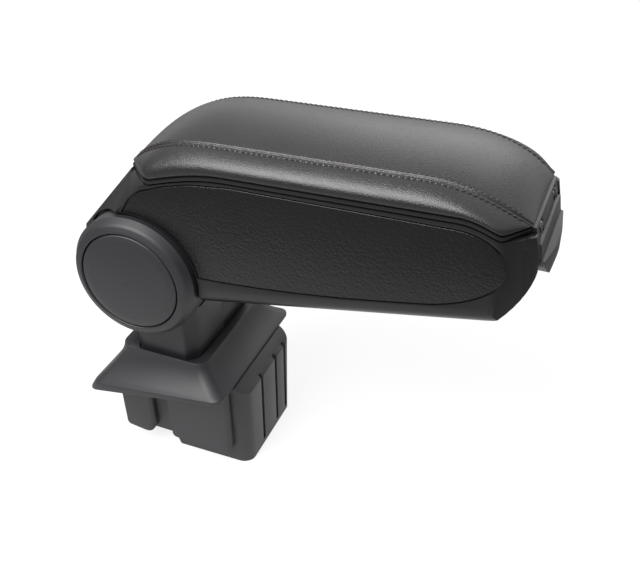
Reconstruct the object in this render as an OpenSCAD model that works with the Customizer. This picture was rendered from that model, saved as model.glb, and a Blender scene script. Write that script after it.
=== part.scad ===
// Car centre armrest: a plug that drops into the console, a forked stalk with
// round pivot covers, and a tilting storage box with a padded, latched lid.
// Millimetres, +X towards the free end of the arm, +Y to the left, +Z up.
// The origin is the centre of the two fixing holes in the plug's foot plate.

/* [Arm box] */
// Width of the storage box over its side walls
box_w = 116; // [106:1:126]
// Distance from the pivot axis to the front face of the box
box_reach = 286.5; // [260:0.5:310]
// Height of the box rim above the pivot axis, at the middle of the box
rim_h = 92.6; // [86:0.1:100]
// How far the rim drops at the rear, where the hinge is
rim_rear_drop = 10.9; // [8:0.1:13]
// How far the rim drops at the front corners
rim_front_drop = 8.4; // [5:0.1:10]
// Height of the underside below the pivot axis, measured under the pivot
keel_drop = 25.1; // [22:0.1:28]
// Rise of the underside towards the front, in degrees
keel_rise = 10.4; // [9:0.05:12]
// Radius of the long lower edges of the box
keel_edge_r = 14; // [8:1:20]
// Wall of the storage box
box_wall = 3; // [2.4:0.1:4]
// Wall of the box at its nose, behind the latch
nose_wall = 9; // [8.5:0.5:11]
// Wall of the storage liner
liner_wall = 1.8; // [1.2:0.1:2.4]
// Thickness of the textured side panels
panel_t = 1.6; // [1:0.1:2.2]
// Depth of the groove round each side panel, and its width
panel_groove = 1; // [0.6:0.1:1.6]

/* [Lid] */
// Gap between the box rim and the lid lip
lid_gap = 1.2; // [0.8:0.1:2]
// Thickness of the lip that shows round the lid
lip_t = 2.4; // [1.6:0.1:3.2]
// Height of the dark groove between lip and cushion
lip_groove = 1.2; // [0.8:0.1:2]
// Half the distance between the two long seams of the cushion
seam_y = 42.3; // [36:0.1:48]
// Height of the seams above the cushion's lower edge, at the middle of the lid
seam_rise = 14.9; // [12:0.1:20]
// Height of the crown above the seams
crown_rise = 8; // [4:0.5:12]
// Radius of the hinge knuckles
hinge_knuckle_r = 3.2; // [2.8:0.1:3.6]
// Diameter of the hinge pins
hinge_pin_d = 3; // [2.4:0.1:3.6]

/* [Latch] */
// Width of the latch paddle
paddle_w = 70; // [60:1:80]
// Height of the latch paddle
paddle_h = 30; // [28:0.5:33]
// Wall of the latch paddle
paddle_wall = 2.6; // [2:0.1:3.2]
// Diameter of the latch pin
latch_pin_d = 2.5; // [2:0.1:3]
// Wire of the latch springs
spring_wire = 0.8; // [0.6:0.1:1]

/* [Stalk] */
// Radius of the pivot drum
drum_r = 50; // [46:0.5:54]
// Half width over the two pivot covers
cover_face_y = 69; // [67:0.1:72]
// Radius of the centre disc of each pivot cover
disc_r = 39.5; // [34:0.5:41]
// Height of the pivot axis above the foot plate's lower face
pivot_h = 181; // [172:1:192]
// Distance of the pivot axis behind the fixing holes
pivot_back = 45.5; // [40:0.5:50]
// Length of the stalk neck, front to back
neck_l = 53; // [48:0.5:58]
// Half width of the stalk neck
neck_y = 49; // [46:0.5:52]
// Wall of the stalk mouldings
stalk_wall = 3; // [2.4:0.1:3.6]
// Thickness of the steel side plates of the bracket
plate_t = 3; // [2:0.1:4]
// Diameter of the pivot bolt
bolt_d = 10; // [8:0.5:12]

/* [Base] */
// Length of the plug, front to back
plug_l = 120; // [112:1:128]
// Length of the deep front core of the plug, centred on the fixing holes
core_l = 67; // [60:1:72]
// Half width of the plug at its shoulder
plug_y = 45; // [43:0.5:48]
// Draft of the plug, the half width lost from shoulder to foot
plug_draft = 3; // [1:0.5:4]
// Height of the plug's front shoulder above its foot
plug_h = 74; // [70:1:77]
// How much shallower the rear of the plug is
rear_step = 13; // [8:1:16]
// Wall of the plug
plug_wall = 3; // [2.4:0.1:3.6]
// How far the side pads stand out from the plug
pad_proud = 5; // [3:0.5:6]
// Height of the shelf that carries the stalk bracket
shelf_h = 38; // [32:1:44]
// Distance between the two fixing holes
fixing_pitch = 40; // [34:1:44]
// Diameter of the fixing holes
fixing_d = 6.6; // [5:0.1:8.4]
// Thickness of the foot plate
foot_t = 3; // [2:0.1:4]
// Half width of the collar at its lower edge
collar_y = 68; // [64:0.5:71]
// Drop of the collar's lower edge below the pivot axis, at the front
collar_drop = 98; // [94:0.5:102]
// Slope of the collar's crest and of its lower edge, in degrees
collar_slope = 7.3; // [5:0.1:8]
foot_slope = 9.5; // [8:0.1:10]

/* [Hidden] */
$fn = 96;

// Running and seating clearances
run_fit = 0.05;
seat_fit = 0.3;
part_fit = 0.6;

// Colours as the photograph shows them
satin_black = [0.10, 0.10, 0.11];
grain_black = [0.12, 0.12, 0.13];
leather_black = [0.14, 0.14, 0.14];
moulded_grey = [0.22, 0.23, 0.25];
bezel_black = [0.05, 0.05, 0.05];
plated_steel = [0.72, 0.73, 0.75];
spring_steel = [0.55, 0.56, 0.58];

// Points of an outline whose corners are [x, y, radius]
function unit(v) = v / norm(v);
function turn(a) = a > 180 ? a - 360 : a < -180 ? a + 360 : a;
function corner(a, b, c, steps) =
  b[2] <= 0 ? [[b[0], b[1]]] :
  let (
    p = [b[0], b[1]],
    u = unit([a[0], a[1]] - p),
    v = unit([c[0], c[1]] - p),
    half = acos(u * v) / 2,
    m = p + unit(u + v) * b[2] / sin(half),
    s = p + u * b[2] / tan(half) - m,
    e = p + v * b[2] / tan(half) - m,
    from = atan2(s[1], s[0]),
    sweep = turn(atan2(e[1], e[0]) - from)
  )
  [for (i = [0:steps]) m + b[2] * [cos(from + sweep * i / steps), sin(from + sweep * i / steps)]];
function rounded(pts, steps = 6) =
  let (n = len(pts))
  [for (i = [0:n - 1]) each corner(pts[(i + n - 1) % n], pts[i], pts[(i + 1) % n], steps)];

// A closed skin over rings of points, capped at both ends or, as a loop, closed on itself
module skin(rings, loop = false) {
  n = len(rings[0]);
  count = len(rings);
  last = count - 1;
  polyhedron(
    points = [for (ring = rings) each ring],
    faces = concat(
      loop ? [] : [[for (i = [0:n - 1]) i], [for (i = [n - 1:-1:0]) last * n + i]],
      [for (k = [0:loop ? last : last - 1]) for (i = [0:n - 1]) let (next = (k + 1) % count) each [
        [k * n + i, next * n + i, next * n + (i + 1) % n],
        [k * n + i, next * n + (i + 1) % n, k * n + (i + 1) % n]
      ]]
    )
  );
}

// Places what is drawn round the pivot axis, with that axis along Y through the origin
module at_pivot() {
  translate([-pivot_back, 0, pivot_h]) children();
}

// A side profile in X and Z, made as wide as given and centred on Y = 0
module across(width) {
  rotate([90, 0, 0]) linear_extrude(width, center = true) children();
}

// A cylinder along Y from one Y to another
module along_y(y0, y1, r, x = 0, z = 0) {
  translate([x, y0, z]) rotate([-90, 0, 0]) cylinder(h = y1 - y0, r = r);
}

// Rim of the box seen from the side: a flat rear land, a swoop up, a gentle rise, and
// a dip to the front corners
land_x = 20;
swoop_x = 78;
dip_x = 236;
corner_x = box_reach - 22.5;
rear_x = -6;
rim_steps = 6;
rim_rise = 0.025;
function rise_line(x) = rim_h + rim_rise * (x - 150);
function rim(x) =
  x <= land_x ? rise_line(land_x) - rim_rear_drop :
  x < swoop_x ? rise_line(x) - rim_rear_drop * (1 - sin(90 * (x - land_x) / (swoop_x - land_x))) :
  x <= dip_x ? rise_line(x) :
  x < corner_x ? rise_line(x) - rim_front_drop * (1 - cos(90 * (x - dip_x) / (corner_x - dip_x))) :
  rise_line(corner_x) - rim_front_drop;
rim_stations = concat(
  [rear_x],
  [for (i = [0:rim_steps]) land_x + (swoop_x - land_x) * i / rim_steps],
  [for (i = [0:rim_steps]) dip_x + (corner_x - dip_x) * i / rim_steps]
);
function rim_line(x_end, rise) =
  concat([for (x = rim_stations) [x, rim(x) + rise]], [[x_end, rim(x_end) + rise]]);

// Underside line of the box
function keel(x) = -keel_drop + x * tan(keel_rise);

// Half width, and where the front and rear corners are cut off in plan
box_y = box_w / 2;
nose_side = 3;
front_y = paddle_w / 2 + nose_side;
nose_r = 48;
gap_r = drum_r + 2.5;
barrel_y = 35;
cheek_y = barrel_y + 0.8;
land_y = box_y - 23.2;
turn_x = 15;

// The front face stands upright up to a line, and leans back above it
notch_z = rim_h - 13.5;
lean_z = max(notch_z - 9, keel(box_reach) + 0.84 * nose_r + 1);
front_lean = 0.24;
function face_x(z) = box_reach - front_lean * max(0, z - lean_z);

// Plan of the box: straight sides and two cut front corners
module box_plan(inset) {
  reach = box_reach - inset;
  half = box_y - inset;
  nose = front_y - inset / 2;
  linear_extrude(260, center = true) polygon(rounded([
    [-60, -half, 0], [corner_x - inset / 2, -half, 10], [reach, -nose, 8],
    [reach, nose, 8], [corner_x - inset / 2, half, 10], [-60, half, 0]
  ]));
}

// Section of the box, with round lower edges, swept along the underside
module box_section(inset) {
  half = box_y - inset;
  edge = max(1, keel_edge_r - inset);
  translate([0, 0, -keel_drop]) rotate([0, -keel_rise, 0]) translate([-120, 0, inset])
    rotate([90, 0, 90]) linear_extrude(460) polygon(rounded([
      [-half, 240, 0], [half, 240, 0], [half, 0, edge], [-half, 0, edge]
    ]));
}

// Side profile of the box from its rear fairing to its nose
tail_x = -50;
tail_z = 25;
module box_profile() {
  across(box_w + 20) polygon(concat(
    rounded([
      [0, 0, 0], [tail_x, tail_z, 0], [rear_x - 0.5, rim(rear_x) - 0.6, 0]
    ]),
    rim_line(face_x(rim(box_reach)), 0),
    [[box_reach, lean_z]],
    corner([box_reach, rim_h], [box_reach, keel(box_reach), nose_r], [60, keel(60)], 12),
    [[30, keel(30)]]
  ));
}

// What is cut away where the rear fairing turns from the side to the slope
fairing_tilt = 55.25;
fairing_turn = 137.9;
module fairing_cut(side) {
  translate([turn_x - 0.5, side * box_y, rim(rear_x)])
    rotate([0, fairing_tilt, side * fairing_turn])
    translate([-100, -100, 0]) cube([200, 200, 120]);
}

// Inside of the storage box, open at the rim
cavity_x = gap_r + 10;
module box_cavity(extra) {
  inset = box_wall + extra;
  nose = box_reach - nose_wall - extra;
  intersection() {
    across(box_w) polygon(concat(
      [[cavity_x + extra, rim_h + 30], [cavity_x + extra, keel(cavity_x) + inset]],
      corner([cavity_x, keel(cavity_x) + inset], [nose, keel(nose) + inset, nose_r - inset],
        [nose, rim_h + 30], 12),
      [[nose, rim_h + 30]]
    ));
    box_plan(inset + 1);
    box_section(inset);
  }
}

// Lid hinge: its axis, and the stretches of Y that box and lid knuckles take
hinge_x = rear_x + 2.5;
hinge_z = rim(rear_x) + 0.5;
hinge_y = [12, 18, 28, 34];
hinge_mid = (hinge_y[0] + hinge_y[3]) / 2;
hinge_half = (hinge_y[3] - hinge_y[0]) / 2;
hinge_gap = 0.3;
pin_r = hinge_pin_d / 2;
module hinge_knuckle(y0, y1, low, high) {
  along_y(y0, y1, hinge_knuckle_r, hinge_x, hinge_z);
  web = 2 * hinge_knuckle_r - 3.4;
  translate([hinge_x - web / 2, y0, hinge_z + low]) cube([web, y1 - y0, high - low]);
}

// Latch: the plate's notch in the box front, and the pin axis
latch_y = front_y - 0.5;
plate_x = box_reach - nose_wall;
latch_z = notch_z + 6;
latch_x = face_x(latch_z) - 2.5;

// Bosses that carry the liner
boss_x = [98, 236];
boss_y = 30;
boss_h = 8;
boss_r = 4.5;
screw_d = 4;
module liner_bosses() {
  for (x = boss_x, side = [-1, 1])
    translate([x, side * boss_y, keel(x) + box_wall / cos(keel_rise)]) rotate([0, -keel_rise, 0])
      translate([0, 0, -box_wall / 2]) cylinder(h = boss_h + box_wall / 2, r = boss_r);
}
module at_liner_screws() {
  for (x = boss_x, side = [-1, 1])
    translate([x, side * boss_y, keel(x) + box_wall / cos(keel_rise)])
      rotate([0, -keel_rise, 0]) children();
}

// Outline of the side panel, seen from the side: it follows the rim, ends in a
// quarter oval above and below the nose, and runs back along the underside
panel_low = 16.7;
panel_end = box_reach - 17;
panel_mid = keel(box_reach) + 39;
function panel_keel(x) = keel(x) + panel_low + 0.0005 * pow(min(0, x - 190), 2);
module panel_outline(inset) {
  end = panel_end - inset;
  high = rise_line(dip_x) - 4 - inset;
  ahead = 34;
  back = 52;
  low = panel_keel(end - back) + inset;
  slant = back * tan(keel_rise);
  fall = panel_mid - slant - low;
  polygon(concat(
    rounded([
      [14 - inset, 20, 0], [-11.8 + inset, 41.6, 0], [7 + inset, rim(7) - 8 - inset, 22],
      [30, rim(30) - 2.2 - inset, 30], [50, rim(50) - 2.2 - inset, 30],
      [80, rim(80) - 2.4 - inset, 60], [end - ahead, high, 0]
    ], 8),
    [for (i = [1:8]) [end - ahead + ahead * sin(90 * i / 8), panel_mid + (high - panel_mid) * cos(90 * i / 8)]],
    [for (i = [1:10]) [end - back * (1 - cos(9 * i)), panel_mid - slant * (1 - cos(9 * i)) - fall * sin(9 * i)]],
    [for (x = [190, 160, 130, 100, 75, 52]) [x, panel_keel(x) + inset]]
  ));
}
module side_panel(side, grow, depth) {
  difference() {
    translate([0, side * (box_y - depth / 2), 0]) across(depth) panel_outline(-grow);
    along_y(-box_y - 1, box_y + 1, gap_r + 1.6 - grow);
  }
}

module box_shell() color(satin_black) at_pivot() difference() {
  union() {
    difference() {
      intersection() {
        box_profile();
        box_plan(0);
        box_section(0);
      }
      for (side = [-1, 1]) fairing_cut(side);
      for (side = [-1, 1])
        translate([0, side * (barrel_y + 30), 0]) rotate([90, 0, 0])
          cylinder(h = 60, r = gap_r, center = true);
      box_cavity(0);
      hinge_well();
      for (side = [-1, 1])
        translate([0, side * 0.5, 0]) side_panel(side, panel_groove, panel_t + 0.5);
      nose_front();
      along_y(-land_y - 5, land_y + 5, hinge_knuckle_r + 0.8, hinge_x, hinge_z);
    }
    along_y(-barrel_y, barrel_y, drum_r - 0.4);
    intersection() {
      liner_bosses();
      box_section(box_wall / 2);
    }
    for (side = [-1, 1], k = [0, 2])
      translate([0, side > 0 ? 0 : -hinge_y[k] - hinge_y[k + 1], 0])
        hinge_knuckle(hinge_y[k], hinge_y[k + 1], -hinge_knuckle_r - 2, 0);
  }
  barrel_cells();
  along_y(-barrel_y - 1, barrel_y + 1, tube_r);
  at_liner_screws() translate([0, 0, -box_wall / 2]) cylinder(h = boss_h + 10, r = screw_d / 2);
  for (side = [-1, 1])
    along_y(side * hinge_mid - hinge_half - 1, side * hinge_mid + hinge_half + 1, pin_r, hinge_x, hinge_z);
}

// What lies ahead of the flat front wall: the nose corners, the latch and its bezel
bezel_depth = 7;
front_x = box_reach - bezel_depth;
module nose_front() {
  translate([front_x, -box_y - 1, 0]) cube([60, box_w + 2, notch_z]);
  translate([plate_x - 1, -box_y - 1, notch_z]) cube([60, box_w + 2, 60]);
}
module nose_corner(side) color(satin_black) at_pivot() intersection() {
  box_profile();
  box_plan(0);
  nose_front();
  translate([0, side > 0 ? latch_y : -latch_y - 60, 0]) cube([400, 60, 200]);
}
module nose_corner_left() nose_corner(1);
module nose_corner_right() nose_corner(-1);

// Pocket under the lid between the hinge and the storage liner
module hinge_well() {
  well_y = box_y - 18;
  translate([24, -well_y, gap_r + 8]) cube([cavity_x - 30, 2 * well_y, 60]);
}

// Cells that lighten the barrel round its hub, open at both ends
hub_r = 13;
barrel_wall = 3;
rib_t = 3;
module barrel_cells() {
  cell_l = barrel_y - rib_t / 2;
  for (side = [-1, 1], k = [0:5])
    difference() {
      intersection() {
        along_y(side > 0 ? rib_t / 2 : -barrel_y - 1, side > 0 ? barrel_y + 1 : -rib_t / 2,
          drum_r - 0.4 - barrel_wall);
        rotate([0, -60 * k, 0]) translate([rib_t, -60, rib_t / 2]) cube([60, 120, 60]);
        rotate([0, -60 * k - 60, 0]) translate([rib_t, -60, -60 - rib_t / 2]) cube([60, 120, 60]);
      }
      along_y(-60, 60, hub_r);
    }
}

module side_panel_left() color(grain_black) at_pivot()
  side_panel(1, 0, panel_t);
module side_panel_right() color(grain_black) at_pivot()
  side_panel(-1, 0, panel_t);

// Storage liner: a tub that stands on the bosses of the box floor
liner_top = rim(box_reach) - 2.5;
liner_lift = (boss_h - part_fit) / cos(keel_rise);
module storage_liner() color(bezel_black) at_pivot() difference() {
  intersection() {
    box_cavity(part_fit);
    translate([-50, -100, -50]) cube([400, 200, 50 + liner_top]);
    translate([0, 0, liner_lift]) box_section(box_wall + part_fit);
  }
  difference() {
    box_cavity(part_fit + liner_wall);
    difference() {
      translate([-50, -100, -100]) cube([500, 200, 200]);
      translate([0, 0, liner_lift]) box_section(box_wall + part_fit + liner_wall);
    }
  }
  translate([plate_x - 3, -latch_y - 4, notch_z - 1]) cube([20, 2 * latch_y + 8, 30]);
  at_liner_screws() cylinder(h = boss_h + 20, r = screw_d / 2 + 0.2);
}

// A pan-head screw standing on Z = 0, its thread below
module pan_screw(d, shank, head_r, head_h) {
  translate([0, 0, -shank]) cylinder(h = shank, r = d / 2);
  difference() {
    cylinder(h = head_h, r = head_r);
    translate([0, 0, head_h / 2]) cylinder(h = head_h, r = head_r * 0.45, $fn = 6);
  }
}

module liner_screws() color(plated_steel) at_pivot() at_liner_screws()
  translate([0, 0, boss_h + liner_wall]) pan_screw(screw_d - 2 * run_fit, liner_wall + boss_h - 1, 3.8, 2);

// Black bezel plate between the nose corners, behind the latch
bezel_t = 1.5;
bezel_x = front_x + bezel_t;
module latch_bezel() color(bezel_black) at_pivot() intersection() {
  translate([-0.2, 0, 0]) box_profile();
  translate([front_x, seat_fit - latch_y, 0]) cube([bezel_t, 2 * latch_y - 2 * seat_fit, notch_z - 0.4]);
}

// Spring-steel striker on the bezel, with a lip that the latch hooks catch under
hook_y = 18;
hook_w = 4;
hook_z = latch_z - 17;
clip_t = 0.8;
clip_reach = 2.6;
module striker_clip() color(spring_steel) at_pivot() {
  half = hook_y + hook_w / 2 + 1;
  translate([bezel_x, -half, hook_z + 0.3]) cube([clip_t, 2 * half, 8]);
  translate([bezel_x, -half, hook_z + 0.3]) cube([clip_reach, 2 * half, clip_t]);
}

// Plan of the lid with all four corners cut
lid_front_x = box_reach - 7.5;
module lid_plan(inset) {
  half = box_y - inset;
  polygon(rounded([
    [rear_x + 0.5 + inset, -land_y + inset / 2, 6], [turn_x + 1 + inset / 2, -half, 10],
    [corner_x - inset / 2, -half, 10], [lid_front_x - inset, -front_y + inset / 2, 6],
    [lid_front_x - inset, front_y - inset / 2, 6], [corner_x - inset / 2, half, 10],
    [turn_x + 1 + inset / 2, half, 10], [rear_x + 0.5 + inset, land_y - inset / 2, 6]
  ]));
}

// A layer of the lid that follows the rim between two heights above it
module lid_layer(inset, low, high) {
  intersection() {
    linear_extrude(300) lid_plan(inset);
    across(box_w + 10) polygon(concat(
      rim_line(box_reach + 5, low),
      [for (i = [len(rim_stations):-1:0]) let (p = rim_line(box_reach + 5, high)) p[i]]
    ));
  }
}

deck_t = 2.6;
deck_top = lid_gap + lip_t + lip_groove;
module lid_carrier() color(satin_black) at_pivot() difference() {
  union() {
    lid_layer(0.3, lid_gap, lid_gap + lip_t);
    lid_layer(2.2, lid_gap + lip_t - 0.5, deck_top);
    latch_plate();
    difference() {
      lid_layer(9, lid_gap - 5, lid_gap + 1);
      lid_layer(11.4, lid_gap - 6, lid_gap + 2);
      translate([-10, -60, 0]) cube([cavity_x + 12, 120, 120]);
      translate([box_reach - 40, -60, 0]) cube([60, 120, 120]);
    }
    for (side = [-1, 1])
      translate([0, side > 0 ? 0 : -hinge_y[1] - hinge_y[2], 0])
        hinge_knuckle(hinge_y[1] + hinge_gap, hinge_y[2] - hinge_gap, 0, lid_gap + lip_t / 2);
  }
  for (side = [-1, 1]) {
    along_y(side * hinge_mid - hinge_half - 1, side * hinge_mid + hinge_half + 1, pin_r + run_fit, hinge_x, hinge_z);
    for (k = [0, 2])
      translate([0, side > 0 ? 0 : -hinge_y[k] - hinge_y[k + 1], 0])
        along_y(hinge_y[k] - 0.3, hinge_y[k + 1] + 0.3, hinge_knuckle_r + 0.5, hinge_x, hinge_z);
  }
  latch_cuts();
  at_lid_screws() translate([0, 0, -10]) cylinder(h = 9 + lid_gap + deck_top - 1.6, r = 1.5);
}

// Front plate of the carrier, which holds the latch pin and leans with the box front
module latch_plate() {
  low = notch_z + lid_gap;
  high = rim(box_reach) + lid_gap + lip_t;
  intersection() {
    across(2 * latch_y - 1.6) polygon([
      [plate_x, low], [face_x(low) - 0.5, low], [face_x(high) - 0.5, high], [plate_x, high]
    ]);
    box_plan(0.8);
  }
}
lug_y = [24, 28];
spring_y = [19, 23.6];
module latch_cuts() {
  along_y(-33, 33, latch_pin_d / 2, latch_x, latch_z);
  for (side = [-1, 1])
    translate([plate_x - 1, side > 0 ? spring_y[0] : -lug_y[1] - 0.3, notch_z])
      cube([20, lug_y[1] + 0.3 - spring_y[0], latch_z + 4.2 - notch_z]);
}

// Lid liner: the panel that closes the underside of the lid
liner_x0 = cavity_x + 8;
liner_x1 = box_reach - 36;
module lid_liner() color(bezel_black) at_pivot() difference() {
  intersection() {
    lid_layer(7.2, lid_gap - 7, lid_gap - 5.2);
    translate([liner_x0 - 4, -60, 0]) cube([liner_x1 - liner_x0 + 8, 120, 150]);
  }
  at_lid_screws() translate([0, 0, -10]) cylinder(h = 20, r = 1.7);
}
lid_screw_x = [92, 222];
lid_screw_y = 34;
module at_lid_screws() {
  for (x = lid_screw_x, side = [-1, 1])
    translate([x, side * lid_screw_y, rim(x)]) children();
}
module lid_liner_screws() color(plated_steel) at_pivot() at_lid_screws()
  translate([0, 0, lid_gap - 7.1]) rotate([180, 0, 0]) pan_screw(3 - 2 * run_fit, 8, 3, 1.6);

module hinge_pin(side) color(plated_steel) at_pivot()
  along_y(side * hinge_mid - hinge_half, side * hinge_mid + hinge_half, pin_r, hinge_x, hinge_z);
module hinge_pin_left() hinge_pin(1);
module hinge_pin_right() hinge_pin(-1);

// Cushion: sections across the lid, from the lower edge over the seam to the crown
cushion_low = deck_top + 0.3;
cushion_x0 = rear_x + 0.9;
cushion_x1 = lid_front_x - 0.2;
function lid_half(x) =
  x < turn_x + 1 ? land_y + (box_y - land_y) * (x - rear_x) / (turn_x + 1 - rear_x) :
  x > corner_x ? box_y - (box_y - front_y) * (x - corner_x) / (lid_front_x - corner_x) :
  box_y;
function near_rear(x) = 1 - min(1, (x - cushion_x0) / 80);
function near_front(x) = 1 - min(1, (cushion_x1 - x) / 75);
function seam_line(x) = rise_line(x) + cushion_low + seam_rise;
function seam_z(x) =
  seam_line(x)
  - (seam_line(cushion_x0) - rim(cushion_x0) - cushion_low - 0.5) * pow(near_rear(x), 3)
  - (seam_line(cushion_x1) - rim(cushion_x1) - cushion_low - 0.5) * pow(near_front(x), 2.4);
function swell(x) =
  let (
    rear = min(1, (x - cushion_x0) / 60),
    front = min(1, (cushion_x1 - x) / 46)
  )
  sqrt(1 - pow(1 - rear, 2.2)) * sqrt(1 - pow(1 - front, 2.2));
function cushion_ring(x) =
  let (
    w = lid_half(x) + 0.2,
    low = rim(x) + cushion_low,
    s = swell(x),
    side_z = max(seam_z(x), low + 0.5),
    tall = side_z - low,
    seam = min(seam_y, w - 3) * (0.94 + 0.06 * s),
    h = crown_rise * s
  )
  concat(
    [[x, -w + 1, low], [x, -w, low + 0.14 * tall], [x, -w + 0.9, low + 0.36 * tall]],
    [[x, -w + 3.4, low + 0.62 * tall], [x, -(w + seam) / 2 - 0.4, low + 0.84 * tall]],
    [for (k = [-4:4]) [x, seam * k / 4, side_z + h * (1 - k * k / 16)]],
    [[x, (w + seam) / 2 + 0.4, low + 0.84 * tall], [x, w - 3.4, low + 0.62 * tall]],
    [[x, w - 0.9, low + 0.36 * tall], [x, w, low + 0.14 * tall], [x, w - 1, low]]
  );
cushion_x = concat(
  [for (t = [0, 0.1, 0.28, 0.55, 0.8]) cushion_x0 + t * (land_x - cushion_x0)],
  [for (i = [1:2 * rim_steps + 2]) rim_stations[i]],
  [for (t = [0.41, 0.74, 0.92, 1]) corner_x + t * (cushion_x1 - corner_x)]
);
module lid_cushion() color(leather_black) at_pivot()
  skin([for (x = cushion_x) cushion_ring(x)]);

// Latch paddle: a hollow plate flush with the box front over a crowned grip that is
// open below for the fingers, with lugs to the pin and two hooks
paddle_top = notch_z + lid_gap - 1.2;
paddle_low = paddle_top - paddle_h;
paddle_out = box_reach + 7.5;
paddle_x = bezel_x + clip_t + 0.3;
ledge_z = paddle_low + 17;
module paddle_side(inset) {
  out = paddle_out - inset;
  back = paddle_x - inset;
  polygon(rounded([
    [back, paddle_low - 10, 0], [out - 4.5, paddle_low - 6, 0], [out, paddle_low + 9, 14],
    [out - 0.8, ledge_z - inset, 2], [face_x(ledge_z) + 0.8 - inset, ledge_z + 1.2 - inset, 1],
    [face_x(paddle_top) + 0.5 - inset, paddle_top + 4, 0], [back, paddle_top + 4, 0]
  ]));
}
module paddle_body(inset) {
  half = paddle_w / 2 - inset;
  out = paddle_out - inset;
  intersection() {
    translate([box_reach - 10, 0, 0]) rotate([90, 0, 90]) linear_extrude(40) polygon(rounded([
      [-half, paddle_top - inset, 1.5], [half, paddle_top - inset, 1.5],
      [half, paddle_low + 14, 8], [half - 16, paddle_low + inset, 12],
      [-half + 16, paddle_low + inset, 12], [-half, paddle_low + 14, 8]
    ]));
    linear_extrude(200) polygon(rounded([
      [paddle_x - 20, -half - 8, 0], [out - 6, -half - 8, 0], [out, 0, 90],
      [out - 6, half + 8, 0], [paddle_x - 20, half + 8, 0]
    ]));
    across(paddle_w + 20) paddle_side(inset);
  }
}
module latch_paddle() color(moulded_grey) at_pivot() difference() {
  union() {
    difference() {
      paddle_body(0);
      paddle_body(paddle_wall);
      intersection() {
        across(60) paddle_side(paddle_wall);
        translate([box_reach - 20, -22, paddle_low - 2]) cube([40, 44, 9]);
      }
    }
    for (side = [-1, 1]) {
      translate([0, side > 0 ? 0 : -lug_y[0] - lug_y[1], 0]) {
        along_y(lug_y[0], lug_y[1], 2.6, latch_x, latch_z);
        translate([bezel_x + 0.3, lug_y[0], paddle_top - 2])
          cube([1.9, lug_y[1] - lug_y[0], latch_z - paddle_top + 2]);
        translate([latch_x, lug_y[0], latch_z - 3.4])
          cube([bezel_x + 2.2 - latch_x, lug_y[1] - lug_y[0], 3.4]);
      }
      translate([bezel_x + clip_t + 0.1, side * hook_y - hook_w / 2, hook_z - 2.2])
        cube([box_reach - bezel_x - clip_t - 0.1, hook_w, 2.2]);
    }
  }
  along_y(-paddle_w, paddle_w, latch_pin_d / 2 + run_fit, latch_x, latch_z);
}
module latch_pin() color(plated_steel) at_pivot()
  along_y(-32, 32, latch_pin_d / 2, latch_x, latch_z);

// Torsion springs: three turns round the latch pin with a leg on plate and paddle
module latch_spring(side) color(spring_steel) at_pivot() {
  coil_r = latch_pin_d / 2 + spring_wire / 2 + 0.3;
  mid = side * (spring_y[0] + spring_y[1]) / 2;
  for (k = [-1:1])
    translate([latch_x, mid + k * spring_wire, latch_z]) rotate([90, 0, 0])
      rotate_extrude() translate([coil_r, 0]) circle(r = spring_wire / 2 + 0.02, $fn = 24);
}
module latch_spring_left() latch_spring(1);
module latch_spring_right() latch_spring(-1);

// Stalk: each half holds one cheek of the fork and half of the hollow neck
neck_front = 38.5;
neck_rear = neck_front - neck_l;
neck_low = -115;
cheek_out = cover_face_y - 10.6;
tube_r = 8;
plate_y = barrel_y + 1;
plate_r = drum_r - 5;
module neck_block(inset, low) {
  translate([0, 0, low]) linear_extrude(-low) polygon(rounded([
    [neck_rear + inset, -neck_y + inset, max(1, 8 - inset)],
    [neck_front - 9, -neck_y + inset, max(0.5, 4 - inset)],
    [neck_front - inset, -neck_y + 9 + inset / 2, max(0.5, 4 - inset)],
    [neck_front - inset, neck_y - 9 - inset / 2, max(0.5, 4 - inset)],
    [neck_front - 9, neck_y - inset, max(0.5, 4 - inset)],
    [neck_rear + inset, neck_y - inset, max(1, 8 - inset)]
  ]));
}
module stalk_shell(side) color(moulded_grey) at_pivot() intersection() {
  difference() {
    union() {
      neck_block(0, neck_low);
      along_y(cheek_y, cheek_out, drum_r);
      along_y(-cheek_out, -cheek_y, drum_r);
    }
    along_y(-cheek_y, cheek_y, drum_r + 1.2);
    difference() {
      neck_block(stalk_wall, neck_low - 1);
      along_y(-neck_y, neck_y, drum_r + 1.2 + stalk_wall);
      translate([-100, -100, -drum_r + 6]) cube(200);
    }
    for (s = [-1, 1]) {
      along_y(s > 0 ? plate_y - 0.3 : -plate_y - plate_t - 0.3,
        s > 0 ? plate_y + plate_t + 0.3 : -plate_y + 0.3, plate_r + part_fit);
      translate([neck_rear + stalk_wall, s > 0 ? plate_y - 0.3 : -plate_y - plate_t - 0.3, neck_low - 1])
        cube([neck_l - 2 * stalk_wall, plate_t + 0.6, -neck_low]);
      along_y(s > 0 ? plate_y + plate_t + 0.3 + stalk_wall : -cheek_out - 1,
        s > 0 ? cheek_out + 1 : -plate_y - plate_t - 0.3 - stalk_wall, drum_r - stalk_wall);
    }
    along_y(-cheek_out, cheek_out, 13);
  }
  translate([-150, side > 0 ? 0 : -150, -150]) cube([300, 150, 300]);
  deck_halfspace(deck_t2);
}
module stalk_shell_left() stalk_shell(1);
module stalk_shell_right() stalk_shell(-1);

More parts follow.
